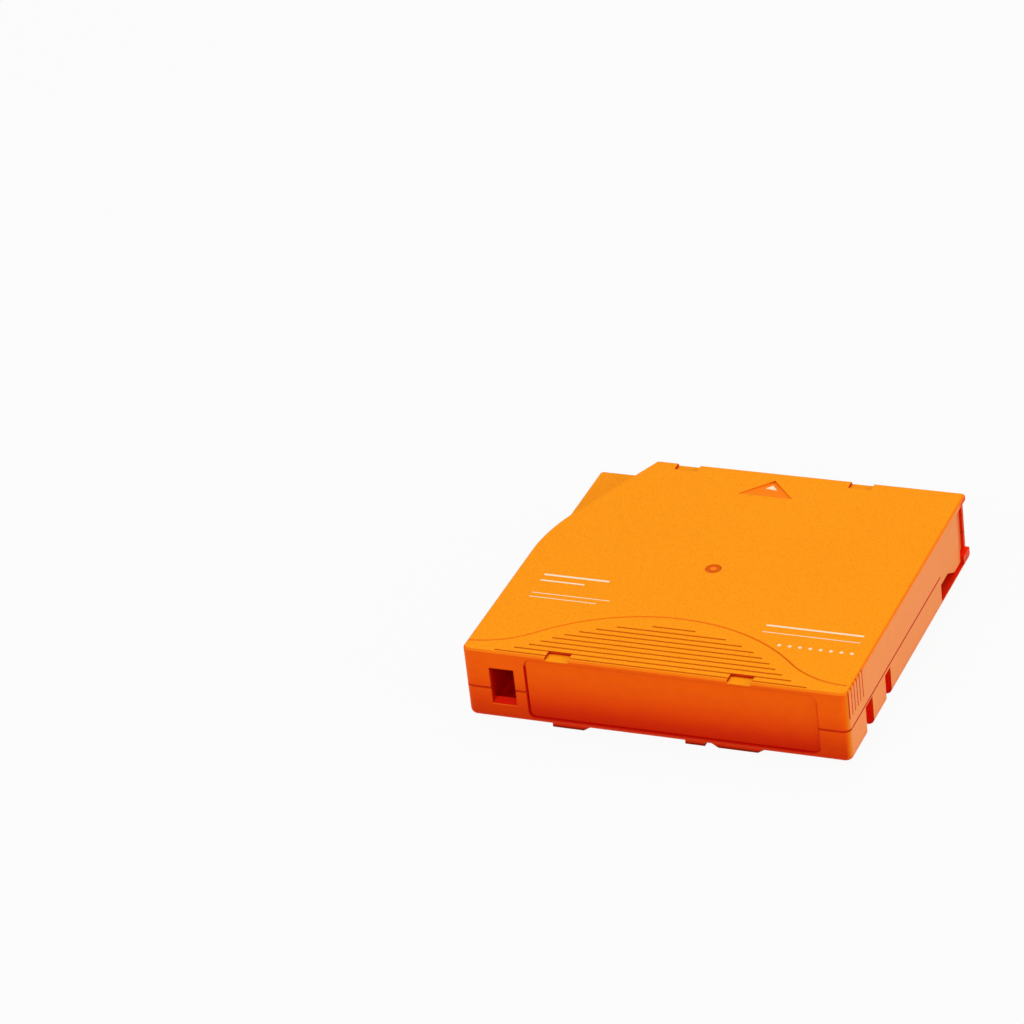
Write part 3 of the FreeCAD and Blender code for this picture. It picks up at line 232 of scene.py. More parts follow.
def softEdges(tree, radius, samples=6):
    node = tree.nodes.new("ShaderNodeBevel")
    node.samples = samples
    node.inputs["Radius"].default_value = radius
    return node.outputs["Normal"]


def openness(tree, reach, samples=8):
    # 1 in the open, less in grooves, seams and corners
    node = tree.nodes.new("ShaderNodeAmbientOcclusion")
    node.samples = samples
    node.inputs["Distance"].default_value = reach
    return node.outputs["AO"]


def axesOf(tree, vector):
    split = tree.nodes.new("ShaderNodeSeparateXYZ")
    tree.links.new(vector, split.inputs["Vector"])
    return split.outputs["X"], split.outputs["Y"], split.outputs["Z"]


def faceTurn(tree):
    # how far a face looks to the door's side and to the label end, and how level it lies
    surface = tree.nodes.new("ShaderNodeNewGeometry")
    x, y, z = axesOf(tree, surface.outputs["True Normal"])
    return x, mathOn(tree, "MULTIPLY", y, -1.0), mathOn(tree, "ABSOLUTE", z)


def fromReelAxis(tree, vector):
    shift = tree.nodes.new("ShaderNodeMapping")
    shift.inputs["Location"].default_value = (-reelAxisX, 0.0, 0.0)
    shift.inputs["Scale"].default_value = (1.0, 1.0, 0.0)
    tree.links.new(vector, shift.inputs["Vector"])
    length = tree.nodes.new("ShaderNodeVectorMath")
    length.operation = "LENGTH"
    tree.links.new(shift.outputs["Vector"], length.inputs[0])
    return length.outputs["Value"]


# orange case

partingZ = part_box("lower_shell")[1].z
openings = {row["name"]: row for row in frame["record"]["physics"]["openings"]}

casePlastic = {
    "grain": (1900.0, 3.0, 0.6),           # noise: scale per metre, detail, roughness
    "patch": (320.0, 3.0, 0.5),
    "cloud": (22.0, 2.0, 0.5),
    "patchTint": [(0.30, (0.98, 0.97, 0.95)), (0.70, white)],
    "cloudTint": [(0.35, (0.99, 0.98, 0.98)), (0.65, white)],
    "etched": [                            # level faces: etched grain, painted lighter and yellower where light falls
        (0.30, (0.86, 0.243, 0.001)),
        (0.50, (0.93, 0.292, 0.002)),
        (0.72, (0.96, 0.345, 0.004)),
    ],
    "satin": [                             # painted sheen: the door's side paler, a painted reflection
        (0.30, (0.92, 0.276, 0.062)),
        (0.70, (0.94, 0.290, 0.068)),
    ],
    "polished": [                          # painted shade: the label end redder and darker
        (0.30, (0.94, 0.114, 0.001)),
        (0.70, (0.96, 0.121, 0.001)),
    ],
    "rounded": (0.90, 0.185, 0.002),       # bevels, rounded edges and the far end
    "levelFrom": (0.82, 0.95),             # how far a face must turn to take each look
    "uprightTo": (0.30, 0.50),
    "sideFrom": (0.85, 0.98),
    "labelFrom": (0.60, 0.90),
    "foot": [                              # painted shade: the label end darkens and reddens towards its foot
        (0.00, (0.58, 0.08, 0.3)),
        (0.27, (0.74, 0.24, 0.4)),
        (0.51, (0.89, 0.54, 0.6)),
        (0.76, (0.97, 0.85, 0.9)),
        (1.00, white),
    ],
    "footHeights": (1.0 * mm, 17.0 * mm),
    "sunk": (0.95, 0.018, 0.0),            # painted shade: level faces inside the recesses turn red
    "sunkHeights": (1.6 * mm, 12.0 * mm),
    "sunkFade": 0.4 * mm,
    "roughByLevel": (0.36, 0.54),
    "roughByPatch": (0.0, 0.12),
    "shine": 0.05,
    "grainStrength": 0.35,
    "grainDepth": 0.06 * mm,
    "edge": 0.25 * mm,
}


def surveyCase(tree, vector):
    # where a point lies, and which way its face looks
    toSide, toLabel, flatness = faceTurn(tree)
    place = axesOf(tree, vector)
    return {
        "vector": vector,
        "place": place,
        "height": place[2],
        "level": riseOn(tree, flatness, *casePlastic["levelFrom"]),
        "upright": fallOn(tree, flatness, *casePlastic["uprightTo"]),
        "toSide": riseOn(tree, toSide, *casePlastic["sideFrom"]),
        "toLabel": riseOn(tree, toLabel, *casePlastic["labelFrom"]),
    }


def facingColourAndShade(tree, at, grain, patch, labelFootShadeDepth):
    # walls by the way they face, with painted sheen on the door's side and painted shade on the label
    # end, then level faces, painted lighter on top and red in recesses
    rounded = casePlastic["rounded"]
    wall = tintOn(tree, at["toSide"], rounded, rampOn(tree, patch, casePlastic["satin"]))
    rise = riseOn(tree, at["height"], *casePlastic["footHeights"])
    polished = rampOn(tree, patch, casePlastic["polished"])
    polished = blendOn(tree, "MULTIPLY", labelFootShadeDepth, polished, rampOn(tree, rise, casePlastic["foot"]))
    wall = tintOn(tree, at["toLabel"], wall, polished)
    wall = tintOn(tree, at["upright"], rounded, wall)
    sunk = between(tree, at["height"], *casePlastic["sunkHeights"], casePlastic["sunkFade"])
    flat = tintOn(tree, sunk, rampOn(tree, grain, casePlastic["etched"]), casePlastic["sunk"])
    return tintOn(tree, at["level"], wall, flat)


doorCornerGlow = {                # painted light: thin plastic at the door's corner glows red
    "x": (50.6 * mm, 51.4 * mm),
    "y": (44.0 * mm, 47.0 * mm),
    "shade": (0.80, 0.045, 0.0),
}


def tintDoorCornerGlow(tree, at, colour):
    x, y, z = at["place"]
    alongY = riseOn(tree, y, *doorCornerGlow["y"])
    acrossX = riseOn(tree, x, *doorCornerGlow["x"])
    return tintOn(tree, allOf(tree, alongY, acrossX, at["upright"]), colour, doorCornerGlow["shade"])


gateMark = {                  # moulding mark in the middle of the roof
    "land": (0.8 * mm, 1.1 * mm),
    "rim": (2.2 * mm, 2.3 * mm),
    "heights": (21.0 * mm, 21.1 * mm),
    "ring": (0.72, 0.118, 0.001),
    "middle": (0.90, 0.195, 0.004),
}


def tintGateMark(tree, at, colour):
    away = fromReelAxis(tree, at["vector"])
    roof = allOf(tree, riseOn(tree, at["height"], *gateMark["heights"]), at["level"])
    inRim = allOf(tree, fallOn(tree, away, *gateMark["rim"]), roof)
    onLand = allOf(tree, fallOn(tree, away, *gateMark["land"]), roof)
    colour = tintOn(tree, inRim, colour, gateMark["ring"])
    return tintOn(tree, onLand, colour, gateMark["middle"])


arrowFloorShade = {                # painted shade on the sloping floor of the sunk arrow
    "low": (-8.0 * mm, 38.0 * mm, 20.8 * mm),
    "high": (8.0 * mm, 47.2 * mm, 21.42 * mm),
    "fade": 0.02 * mm,
    "shade": (0.91, 0.205, 0.003),
}


def tintArrowFloorShade(tree, at, colour):
    inArrow = inBox(tree, at["place"], arrowFloorShade["low"], arrowFloorShade["high"], arrowFloorShade["fade"])
    return tintOn(tree, allOf(tree, inArrow, at["level"]), colour, arrowFloorShade["shade"])


creviceShade = {                  # painted shade: orange turns red where it only sees itself
    "reach": 10.0 * mm,
    "range": (0.25, 0.60),
    "top": (12.0 * mm, 13.0 * mm),         # level faces above this stay as they are
    "shade": (0.95, 0.010, 0.0),
    "grooveHeights": (20.8 * mm, 20.9 * mm),
    "grooveShade": (0.66, 0.145, 0.0),     # walls of the roof's shallow grooves
}


def tintCreviceShade(tree, at, colour):
    inTheOpen = riseOn(tree, openness(tree, creviceShade["reach"]), *creviceShade["range"])
    roof = allOf(tree, riseOn(tree, at["height"], *creviceShade["top"]), at["level"])
    inTheOpen = mathOn(tree, "MAXIMUM", inTheOpen, roof)
    inGroove = riseOn(tree, at["height"], *creviceShade["grooveHeights"])
    shade = tintOn(tree, inGroove, creviceShade["shade"], creviceShade["grooveShade"])
    return tintOn(tree, inTheOpen, shade, colour)


labelJoint = {                # gap round the label panel
    "middle": (4.55 * mm, 11.35 * mm),
    "half": (39.85 * mm, 8.75 * mm),
    "corner": 1.6 * mm,
    "width": 0.28 * mm,
    "fade": 0.05 * mm,
    "top": (18.0 * mm, 19.0 * mm),         # the gap is lost under the roof's edge
    "depths": (2.0 * mm, 2.1 * mm),        # how far in from the label end it is tinted
    "faintX": (40.0 * mm, 44.0 * mm),      # the line is fainter at the end by the door
    "faintShare": 0.4,
    "shade": (0.60, 0.006, 0.0),
}


def tintLabelJoint(tree, at, colour):
    # a line along a rectangle with rounded corners
    x, y, z = at["place"]
    corner, width = labelJoint["corner"], labelJoint["width"]
    squares = []
    for value, middle, half in zip((x, z), labelJoint["middle"], labelJoint["half"]):
        away = mathOn(tree, "ABSOLUTE", mathOn(tree, "SUBTRACT", value, middle))
        past = mathOn(tree, "MAXIMUM", mathOn(tree, "SUBTRACT", away, half - corner), 0.0)
        squares.append(mathOn(tree, "POWER", past, 2.0))
    reach = mathOn(tree, "SQRT", mathOn(tree, "ADD", *squares))
    outline = between(tree, reach, corner - width, corner + width, labelJoint["fade"])
    below = fallOn(tree, z, *labelJoint["top"])
    atEnd = fallOn(tree, y, *(cadLow.y + depth for depth in labelJoint["depths"]))
    strength = rangeOn(tree, x, 1.0, labelJoint["faintShare"], *labelJoint["faintX"])
    return tintOn(tree, allOf(tree, outline, below, atEnd, strength), colour, labelJoint["shade"])


seamGroove = {
    "heights": (partingZ - 0.60 * mm, partingZ - 0.01 * mm),
    "fade": 0.005 * mm,
    "shade": (0.56, 0.03, 0.0),
}


def tintSeamGroove(tree, at, colour):
    seam = between(tree, at["height"], *seamGroove["heights"], seamGroove["fade"])
    return tintOn(tree, allOf(tree, seam, at["upright"]), colour, seamGroove["shade"])


# painted shadow: upright faces near the floor, the sides of the feet, turn dark
feetShadow = {
    "heights": (0.55 * mm, 0.80 * mm),
    "shade": (0.30, 0.012, 0.001),
}


def tintFeetShadow(tree, at, colour):
    below = fallOn(tree, at["height"], *feetShadow["heights"])
    return tintOn(tree, allOf(tree, below, at["upright"]), colour, feetShadow["shade"])


stackNotchShade = {              # painted shade on the walls of the four notches at the roof's ends
    "fromAxis": (21.65 * mm, 28.35 * mm),
    "fromMiddle": (47.4 * mm, 50.8 * mm),
    "heights": (20.55 * mm, 21.46 * mm),
    "fade": 0.02 * mm,
    "shade": (0.50, 0.008, 0.0),
}


def tintStackNotchShade(tree, at, colour):
    x, y, z = at["place"]
    acrossX = mathOn(tree, "ABSOLUTE", mathOn(tree, "SUBTRACT", x, reelAxisX))
    alongY = mathOn(tree, "ABSOLUTE", y)
    low, high = zip(stackNotchShade["fromAxis"], stackNotchShade["fromMiddle"], stackNotchShade["heights"])
    notch = inBox(tree, (acrossX, alongY, z), low, high, stackNotchShade["fade"])
    return tintOn(tree, allOf(tree, notch, at["upright"]), colour, stackNotchShade["shade"])


# painted shade on the walls of the tab window, and a painted red spill of light round it
tabWindowShade = {
    "rim": 2.0 * mm,          # how far its walls reach round the opening
    "setBack": 0.15 * mm,     # how far they lie behind the label end
    "fade": 0.1 * mm,
    "shade": (0.72, 0.008, 0.0),
    "haloWidth": 0.4 * mm,
    "halo": (0.80, 0.060, 0.0),            # painted light: red that spills on the face round it
}


def tintWindowSpill(tree, at, colour):
    # painted red spill of light on the label end round the window
    halo = inBox(tree, at["place"], *openings["tab_window"]["box_m"], tabWindowShade["haloWidth"])
    return tintOn(tree, allOf(tree, halo, at["toLabel"]), colour, tabWindowShade["halo"])


def tintWindowWallShade(tree, at, colour):
    # painted shade on the window's walls
    low, high = openings["tab_window"]["box_m"]
    low = [value - tabWindowShade["rim"] for value in low]
    high = [value + tabWindowShade["rim"] for value in high]
    low[1] = cadLow.y + tabWindowShade["setBack"]
    walls = inBox(tree, at["place"], low, high, tabWindowShade["fade"])
    return tintOn(tree, walls, colour, tabWindowShade["shade"])


def makeCasePlastic(name, lowerHalf, labelFootShadeDepth):
    material, tree, shader, vector = startMaterial(name)
    at = surveyCase(tree, vector)
    grain = noiseOn(tree, vector, *casePlastic["grain"])
    patch = noiseOn(tree, vector, *casePlastic["patch"])
    cloud = noiseOn(tree, vector, *casePlastic["cloud"])

    colour = facingColourAndShade(tree, at, grain, patch, labelFootShadeDepth)
    for noise, stops in ((patch, casePlastic["patchTint"]), (cloud, casePlastic["cloudTint"])):
        colour = blendOn(tree, "MULTIPLY", 1.0, colour, rampOn(tree, noise, stops))
    # painted glow, shade, shadow and spill of light, with the gate mark, the label joint and the seam
    tints = [tintDoorCornerGlow, tintGateMark, tintArrowFloorShade, tintWindowSpill, tintCreviceShade, tintLabelJoint]
    if lowerHalf:
        tints += [tintSeamGroove, tintFeetShadow]
    tints += [tintStackNotchShade, tintWindowWallShade]
    for tint in tints:
        colour = tint(tree, at, colour)
    tree.links.new(colour, shader.inputs["Base Color"])

    roughLevel = rangeOn(tree, at["level"], *casePlastic["roughByLevel"])
    roughPatch = rangeOn(tree, patch, *casePlastic["roughByPatch"])
    tree.links.new(mathOn(tree, "ADD", roughLevel, roughPatch), shader.inputs["Roughness"])
    shader.inputs["Specular IOR Level"].default_value = casePlastic["shine"]
    normal = bumpOn(
        tree, allOf(tree, grain, at["level"]), casePlastic["grainStrength"], casePlastic["grainDepth"],
        softEdges(tree, casePlastic["edge"]),
    )
    tree.links.new(normal, shader.inputs["Normal"])
    return material


# plain mouldings inside

mouldings = {
    "reelPlastic": {
        "low": (0.60, 0.60, 0.57), "high": (0.72, 0.72, 0.69),
        "grain": 1500.0, "rough": (0.38, 0.52), "edge": 0.25 * mm,
    },
    "brakePlastic": {
        "low": (0.74, 0.73, 0.68), "high": (0.86, 0.85, 0.81),
        "grain": 1800.0, "rough": (0.30, 0.42), "edge": 0.70 * mm,
    },
    "chipResin": {
        "low": (0.012, 0.012, 0.013), "high": (0.03, 0.03, 0.032),
        "grain": 5200.0, "rough": (0.5, 0.7), "edge": 0.10 * mm,
    },
}

mouldedSkin = {
    "stops": (0.35, 0.65),
    "cloud": 45.0,
    "cloudTint": (0.95, 0.95, 0.95),
    "bump": 0.15,
    "depth": 0.03 * mm,
}


def makeMoulding(name):
    values = mouldings[name]
    stops = mouldedSkin["stops"]
    material, tree, shader, vector = startMaterial(name)
    grain = noiseOn(tree, vector, values["grain"])
    cloud = noiseOn(tree, vector, mouldedSkin["cloud"])
    colour = twoTone(tree, grain, stops, values["low"], values["high"])
    tint = twoTone(tree, cloud, stops, mouldedSkin["cloudTint"], white)
    tree.links.new(blendOn(tree, "MULTIPLY", 1.0, colour, tint), shader.inputs["Base Color"])
    tree.links.new(rangeOn(tree, cloud, *values["rough"]), shader.inputs["Roughness"])
    edges = softEdges(tree, values["edge"])
    normal = bumpOn(tree, grain, mouldedSkin["bump"], mouldedSkin["depth"], edges)
    tree.links.new(normal, shader.inputs["Normal"])
    return material


# metals

metals = {
    "springSteel": {
        "low": (0.42, 0.42, 0.43), "high": (0.60, 0.60, 0.61),
        "rough": (0.22, 0.38), "stretch": (900, 900, 9000), "edge": 0.15 * mm,
    },
    "pinSteel": {
        "low": (0.55, 0.55, 0.55), "high": (0.74, 0.74, 0.73),
        "rough": (0.14, 0.26), "stretch": (700, 700, 12000), "edge": 0.50 * mm,
    },
    "plateSteel": {
        "low": (0.60, 0.60, 0.60), "high": (0.68, 0.68, 0.67),
        "rough": (0.24, 0.34), "stretch": (7000, 7000, 7000), "edge": 0.10 * mm,
    },
    "screwSteel": {
        "low": (0.30, 0.29, 0.28), "high": (0.46, 0.45, 0.43),
        "rough": (0.25, 0.45), "stretch": (2500, 2500, 6000), "edge": 0.10 * mm,
    },
    "coilCopper": {
        "low": (0.62, 0.26, 0.12), "high": (0.84, 0.42, 0.22),
        "rough": (0.25, 0.4), "stretch": (1500, 1500, 1500), "edge": 0.05 * mm,
    },
}

drawnSkin = {
    "streak": (1.0, 3.0),     # noise: scale on the stretched metal, detail
    "stops": (0.3, 0.7),
    "bump": 0.1,
    "depth": 0.01 * mm,
}


def makeMetal(name):
    values = metals[name]
    material, tree, shader, vector = startMaterial(name)
    stretch = tree.nodes.new("ShaderNodeMapping")
    stretch.inputs["Scale"].default_value = values["stretch"]
    tree.links.new(vector, stretch.inputs["Vector"])
    streak = noiseOn(tree, stretch.outputs["Vector"], *drawnSkin["streak"])
    colour = twoTone(tree, streak, drawnSkin["stops"], values["low"], values["high"])
    tree.links.new(colour, shader.inputs["Base Color"])
    tree.links.new(rangeOn(tree, streak, *values["rough"]), shader.inputs["Roughness"])
    shader.inputs["Metallic"].default_value = 1.0
    normal = bumpOn(tree, streak, drawnSkin["bump"], drawnSkin["depth"], softEdges(tree, values["edge"]))
    tree.links.new(normal, shader.inputs["Normal"])
    return material


# wound tape

tapeFilm = {
    "windings": 5200.0,       # light and dark rings per metre of radius
    "noise": (1.0, 4.0, 0.7),
    "stops": (0.3, 0.7),
    "low": (0.010, 0.009, 0.009),
    "high": (0.050, 0.044, 0.040),
    "rough": (0.18, 0.4),
    "bump": 0.25,
    "depth": 0.02 * mm,
}


def makeTapeFilm():
    material, tree, shader, vector = startMaterial("tapeFilm")
    turns = mathOn(tree, "MULTIPLY", fromReelAxis(tree, vector), tapeFilm["windings"])
    combined = tree.nodes.new("ShaderNodeCombineXYZ")
    tree.links.new(turns, combined.inputs["X"])
    rings = noiseOn(tree, combined.outputs["Vector"], *tapeFilm["noise"])
    colour = twoTone(tree, rings, tapeFilm["stops"], tapeFilm["low"], tapeFilm["high"])
    tree.links.new(colour, shader.inputs["Base Color"])
    tree.links.new(rangeOn(tree, rings, *tapeFilm["rough"]), shader.inputs["Roughness"])
    tree.links.new(bumpOn(tree, rings, tapeFilm["bump"], tapeFilm["depth"]), shader.inputs["Normal"])
    return material


# memory board

boardResin = {
    "weave": 2200.0,
    "waver": 1.5,
    "stops": (0.2, 0.8),
    "low": (0.010, 0.085, 0.035),
    "high": (0.025, 0.16, 0.065),
    "rough": (0.3, 0.42),
}


def makeBoardResin():
    material, tree, shader, vector = startMaterial("boardResin")
    wave = tree.nodes.new("ShaderNodeTexWave")
    wave.inputs["Scale"].default_value = boardResin["weave"]
    wave.inputs["Distortion"].default_value = boardResin["waver"]
    tree.links.new(vector, wave.inputs["Vector"])
    weave = wave.outputs["Fac"]
    colour = twoTone(tree, weave, boardResin["stops"], boardResin["low"], boardResin["high"])
    tree.links.new(colour, shader.inputs["Base Color"])
    tree.links.new(rangeOn(tree, weave, *boardResin["rough"]), shader.inputs["Roughness"])
    return material


# finishes on the nodes

finishes = {
    "orangeCase": makeCasePlastic("orangeCase", lowerHalf=False, labelFootShadeDepth=1.0),
    "orangeLowerCase": makeCasePlastic("orangeLowerCase", lowerHalf=True, labelFootShadeDepth=0.75),
    "tapeFilm": makeTapeFilm(),
    "boardResin": makeBoardResin(),
}
finishes.update({name: makeMoulding(name) for name in mouldings})
finishes.update({name: makeMetal(name) for name in metals})

nodeFinish = {
    "orangeCase": ["upper_shell", "access_door"],
    "orangeLowerCase": ["lower_shell"],
    "reelPlastic": ["reel_hub", "upper_flange"],
    "brakePlastic": ["brake_button", "release_pad", "leader_clip"],
    "chipResin": ["memory_chip"],
    "springSteel": ["brake_spring", "door_spring", "pin_spring_lower", "pin_spring_upper"],
    "pinSteel": ["leader_pin"],
    "plateSteel": ["reel_plate"],
    "screwSteel": ["case_screws"],
    "coilCopper": ["memory_coil"],
    "tapeFilm": ["cleaning_tape", "tape_leader"],
    "boardResin": ["memory_board"],
}
for finish, names in nodeFinish.items():
    for name in names:
        mesh = nodes[name].data
        mesh.materials.clear()
        mesh.materials.append(finishes[finish])
print("finishes on", sum(len(names) for names in nodeFinish.values()), "nodes")


# mesh helpers for the pieces made here

def finishPiece(mesh, name, finish, body):
    data = bpy.data.meshes.new(name)
    mesh.to_mesh(data)
    mesh.free()
    data.materials.append(finishes[finish])
    piece = bpy.data.objects.new(name, data)
    scene.collection.objects.link(piece)
    if body:
        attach(piece, body)
    return piece


def newVerts(made):
    return [item for item in made if isinstance(item, bmesh.types.BMVert)]


def openEdges(mesh):
    return sum(not edge.is_manifold for edge in mesh.edges)


def cutThrough(mesh, faces, point, normal):
    around = set(faces)
    for face in faces:
        around.update(face.edges)
        around.update(face.verts)
    bmesh.ops.bisect_plane(mesh, geom=list(around), dist=weld, plane_co=point, plane_no=normal)


# lower half, with its two corners at the label end rounded like a ball

lowerCase = {
    "corner": 2.2 * mm,       # radius of the upright corner
    "edge": 1.8 * mm,         # radius of the bottom edge
    "footHeight": 0.7 * mm,
    "skin": 0.06 * mm,        # how near a point must be to count as the outer face
    "turns": [15, 30, 45, 60, 75],                    # degrees round the corner
    "steps": [1.0, 0.74, 0.50, 0.29, 0.13, 0.04],     # heights up the bottom edge's radius
}


def roundCorner(mesh, side):
    low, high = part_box("lower_shell")
    corner, edge, base = lowerCase["corner"], lowerCase["edge"], lowerCase["footHeight"]
    centre = Vector((side * (high.x - corner), low.y + corner, base))

    def outward(point):
        return side * (point.x - centre.x), centre.y - point.y

    def nearFaces():
        near = []
        for face in mesh.faces:
            reach = [(*outward(vert.co), vert.co.z) for vert in face.verts]
            farX, farY, top = (max(values) for values in zip(*reach))
            bottom = min(z for x, y, z in reach)
            if min(farX, farY) > weld and bottom < base + edge and top > base - weld:
                near.append(face)
        return near

    cutThrough(mesh, nearFaces(), centre, (1.0, 0.0, 0.0))
    cutThrough(mesh, nearFaces(), centre, (0.0, 1.0, 0.0))
    for step in lowerCase["steps"]:
        cutThrough(mesh, nearFaces(), centre + Vector((0.0, 0.0, step * edge)), (0.0, 0.0, 1.0))
    for turn in lowerCase["turns"]:
        slope = math.radians(turn)
        cutThrough(mesh, nearFaces(), centre, (side * math.sin(slope), math.cos(slope), 0.0))
    for vert in mesh.verts:
        outX, outY = outward(vert.co)
        drop = base + edge - vert.co.z
        length = math.hypot(outX, outY)
        if min(outX, outY) < -weld or length < weld or not 0.0 <= drop <= edge + weld:
            continue
        if drop > edge - weld:
            # the square corner of the bottom face is drawn in to a quarter circle
            share = max(outX, outY) / length
        else:
            reach = corner - edge + math.sqrt(edge * edge - drop * drop)
            if length < reach - lowerCase["skin"]:
                continue
            share = reach / length
        vert.co.x = centre.x + side * outX * share
        vert.co.y = centre.y - outY * share


def addLowerCase():
    mesh = bmesh.new()
    mesh.from_mesh(nodes["lower_shell"].data)
    bmesh.ops.remove_doubles(mesh, verts=mesh.verts, dist=weld)
    for side in (-1, 1):
        roundCorner(mesh, side)
    bmesh.ops.remove_doubles(mesh, verts=mesh.verts, dist=weld)
    bmesh.ops.triangulate(mesh, faces=mesh.faces[:])
    print("lower case faces:", len(mesh.faces), "open edges:", openEdges(mesh))
    piece = finishPiece(mesh, "lowerCase", "orangeLowerCase", "case")
    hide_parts("lower_shell")


addLowerCase()


# case screws with cross recesses

caseScrews = {
    "headHeight": 1.7 * mm,
    "headFlat": 1.7 * mm,     # radius of the level part of the head
    "headRound": 0.45 * mm,
    "crest": 1.0 * mm,
    "root": 0.78 * mm,
    "pitch": 0.8 * mm,
    "tip": 1.2 * mm,
    "crossWidth": 0.62 * mm,
    "crossLength": 2.6 * mm,
    "crossDepth": 0.95 * mm,
    "crossTaper": 0.62,
    "sides": 36,
    "roundSteps": 5,
}


def screwSeats():
    # the middle of each head's face, and the head's radius
    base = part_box("case_screws")[0].z
    points = [vert.co for vert in nodes["case_screws"].data.vertices]
    for left in (True, False):
        for near in (True, False):
            own = [point for point in points if (point.x < 0.0) == left and (point.y < 0.0) == near]
            spans = [(min(values), max(values)) for values in zip(*own)]
            (x0, x1), (y0, y1) = spans[:2]
            yield Vector(((x0 + x1) / 2, (y0 + y1) / 2, base)), (x1 - x0) / 2


def screwOutline(base, top, radius):
    # from the middle of the head's face round to the point of the shank
    values = caseScrews
    outline = [(0.0, base), (values["headFlat"], base)]
    for step in range(1, values["roundSteps"] + 1):
        turn = math.radians(90.0 * step / values["roundSteps"])
        outX = values["headFlat"] + (radius - values["headFlat"]) * math.sin(turn)
        outline.append((outX, base + values["headRound"] * (1.0 - math.cos(turn))))
    under = base + values["headHeight"]
    outline += [(radius, under), (values["root"], under)]
    pitch = values["pitch"]
    for index in range(int((top - values["tip"] - under) / pitch)):
        height = under + index * pitch
        outline += [(values["crest"], height + pitch / 2), (values["root"], height + pitch)]
    return outline + [(0.0, top)]


def turnScrew(middle, top, radius):
    mesh = bmesh.new()
    outline = screwOutline(middle.z, top, radius)
    verts = [mesh.verts.new(middle + Vector((x, 0.0, z - middle.z))) for x, z in outline]
    edges = [mesh.edges.new(pair) for pair in zip(verts, verts[1:])]
    bmesh.ops.spin(
        mesh, geom=verts + edges, cent=middle, axis=(0.0, 0.0, 1.0), angle=math.tau,
        steps=caseScrews["sides"], use_merge=True,
    )
    bmesh.ops.remove_doubles(mesh, verts=mesh.verts, dist=weld)
    bmesh.ops.recalc_face_normals(mesh, faces=mesh.faces)
    return mesh


def headFaces(mesh, base):
    return [face for face in mesh.faces if all(abs(vert.co.z - base) < weld for vert in face.verts)]


def cutCross(mesh, middle):
    values = caseScrews
    halfWidth, halfLength = values["crossWidth"] / 2, values["crossLength"] / 2
    for axis in ((1.0, 0.0, 0.0), (0.0, 1.0, 0.0)):
        for offset in (-halfLength, -halfWidth, halfWidth, halfLength):
            cutThrough(mesh, headFaces(mesh, middle.z), middle + Vector(axis) * offset, axis)
    cross = []
    for face in headFaces(mesh, middle.z):
        across = face.calc_center_median() - middle
        short, long = sorted((abs(across.x), abs(across.y)))
        if short < halfWidth and long < halfLength:
            cross.append(face)
    region = cross + list({edge for face in cross for edge in face.edges})
    floor = newVerts(bmesh.ops.extrude_face_region(mesh, geom=region)["geom"])
    bmesh.ops.translate(mesh, verts=floor, vec=(0.0, 0.0, values["crossDepth"]))
    taper = Matrix.Diagonal((values["crossTaper"], values["crossTaper"], 1.0, 1.0))
    bmesh.ops.transform(mesh, matrix=taper, space=Matrix.Translation(-middle), verts=floor)


def joinTo(whole, mesh):
    data = bpy.data.meshes.new("screw")
    mesh.to_mesh(data)
    mesh.free()
    whole.from_mesh(data)
    bpy.data.meshes.remove(data)


def addScrews():
    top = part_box("case_screws")[1].z
    whole = bmesh.new()
    for middle, radius in screwSeats():
        mesh = turnScrew(middle, top, radius)
        cutCross(mesh, middle)
        joinTo(whole, mesh)
    bmesh.ops.recalc_face_normals(whole, faces=whole.faces)
    print("screw faces:", len(whole.faces), "open edges:", openEdges(whole))
    piece = finishPiece(whole, "crossScrews", "screwSteel", "case")
    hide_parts("case_screws")


addScrews()


# springs of round wire

def rimOf(verts):
    # the edges that join these points to one another
    chosen = set(verts)
    return list({edge for vert in verts for edge in vert.link_edges if chosen.issuperset(edge.verts)})


def startWire(mesh, place, heading, radius, sides):
    turn = Vector(heading).to_track_quat("Z", "Y").to_matrix().to_4x4()
    seat = Matrix.Translation(place) @ turn
    return bmesh.ops.create_circle(mesh, segments=sides, radius=radius, matrix=seat)["verts"]


def drawOut(mesh, verts, move, steps):
    for step in range(steps):
        verts = newVerts(bmesh.ops.extrude_edge_only(mesh, edges=rimOf(verts))["geom"])
        bmesh.ops.translate(mesh, verts=verts, vec=move / steps)
    return verts


def windUp(mesh, verts, centre, angle, rise, steps):
    made = bmesh.ops.spin(
        mesh, geom=verts + rimOf(verts), cent=centre, axis=(0.0, 0.0, 1.0),
        dvec=(0.0, 0.0, rise / steps), angle=angle, steps=steps,
    )
    return newVerts(made["geom_last"])


def closeWire(mesh):
    bmesh.ops.holes_fill(mesh, edges=[edge for edge in mesh.edges if edge.is_boundary], sides=0)
    bmesh.ops.recalc_face_normals(mesh, faces=mesh.faces)


brakeCoil = {
    "radius": 7.4 * mm,
    "wire": 0.45 * mm,        # radius of the wire
    "base": 11.465 * mm,
    "top": 19.36 * mm,
    "roof": 19.9 * mm,
    "lift": 2.2 * mm,
    "turns": 3.2,
    "turnSteps": 36,
    "sides": 12,
}


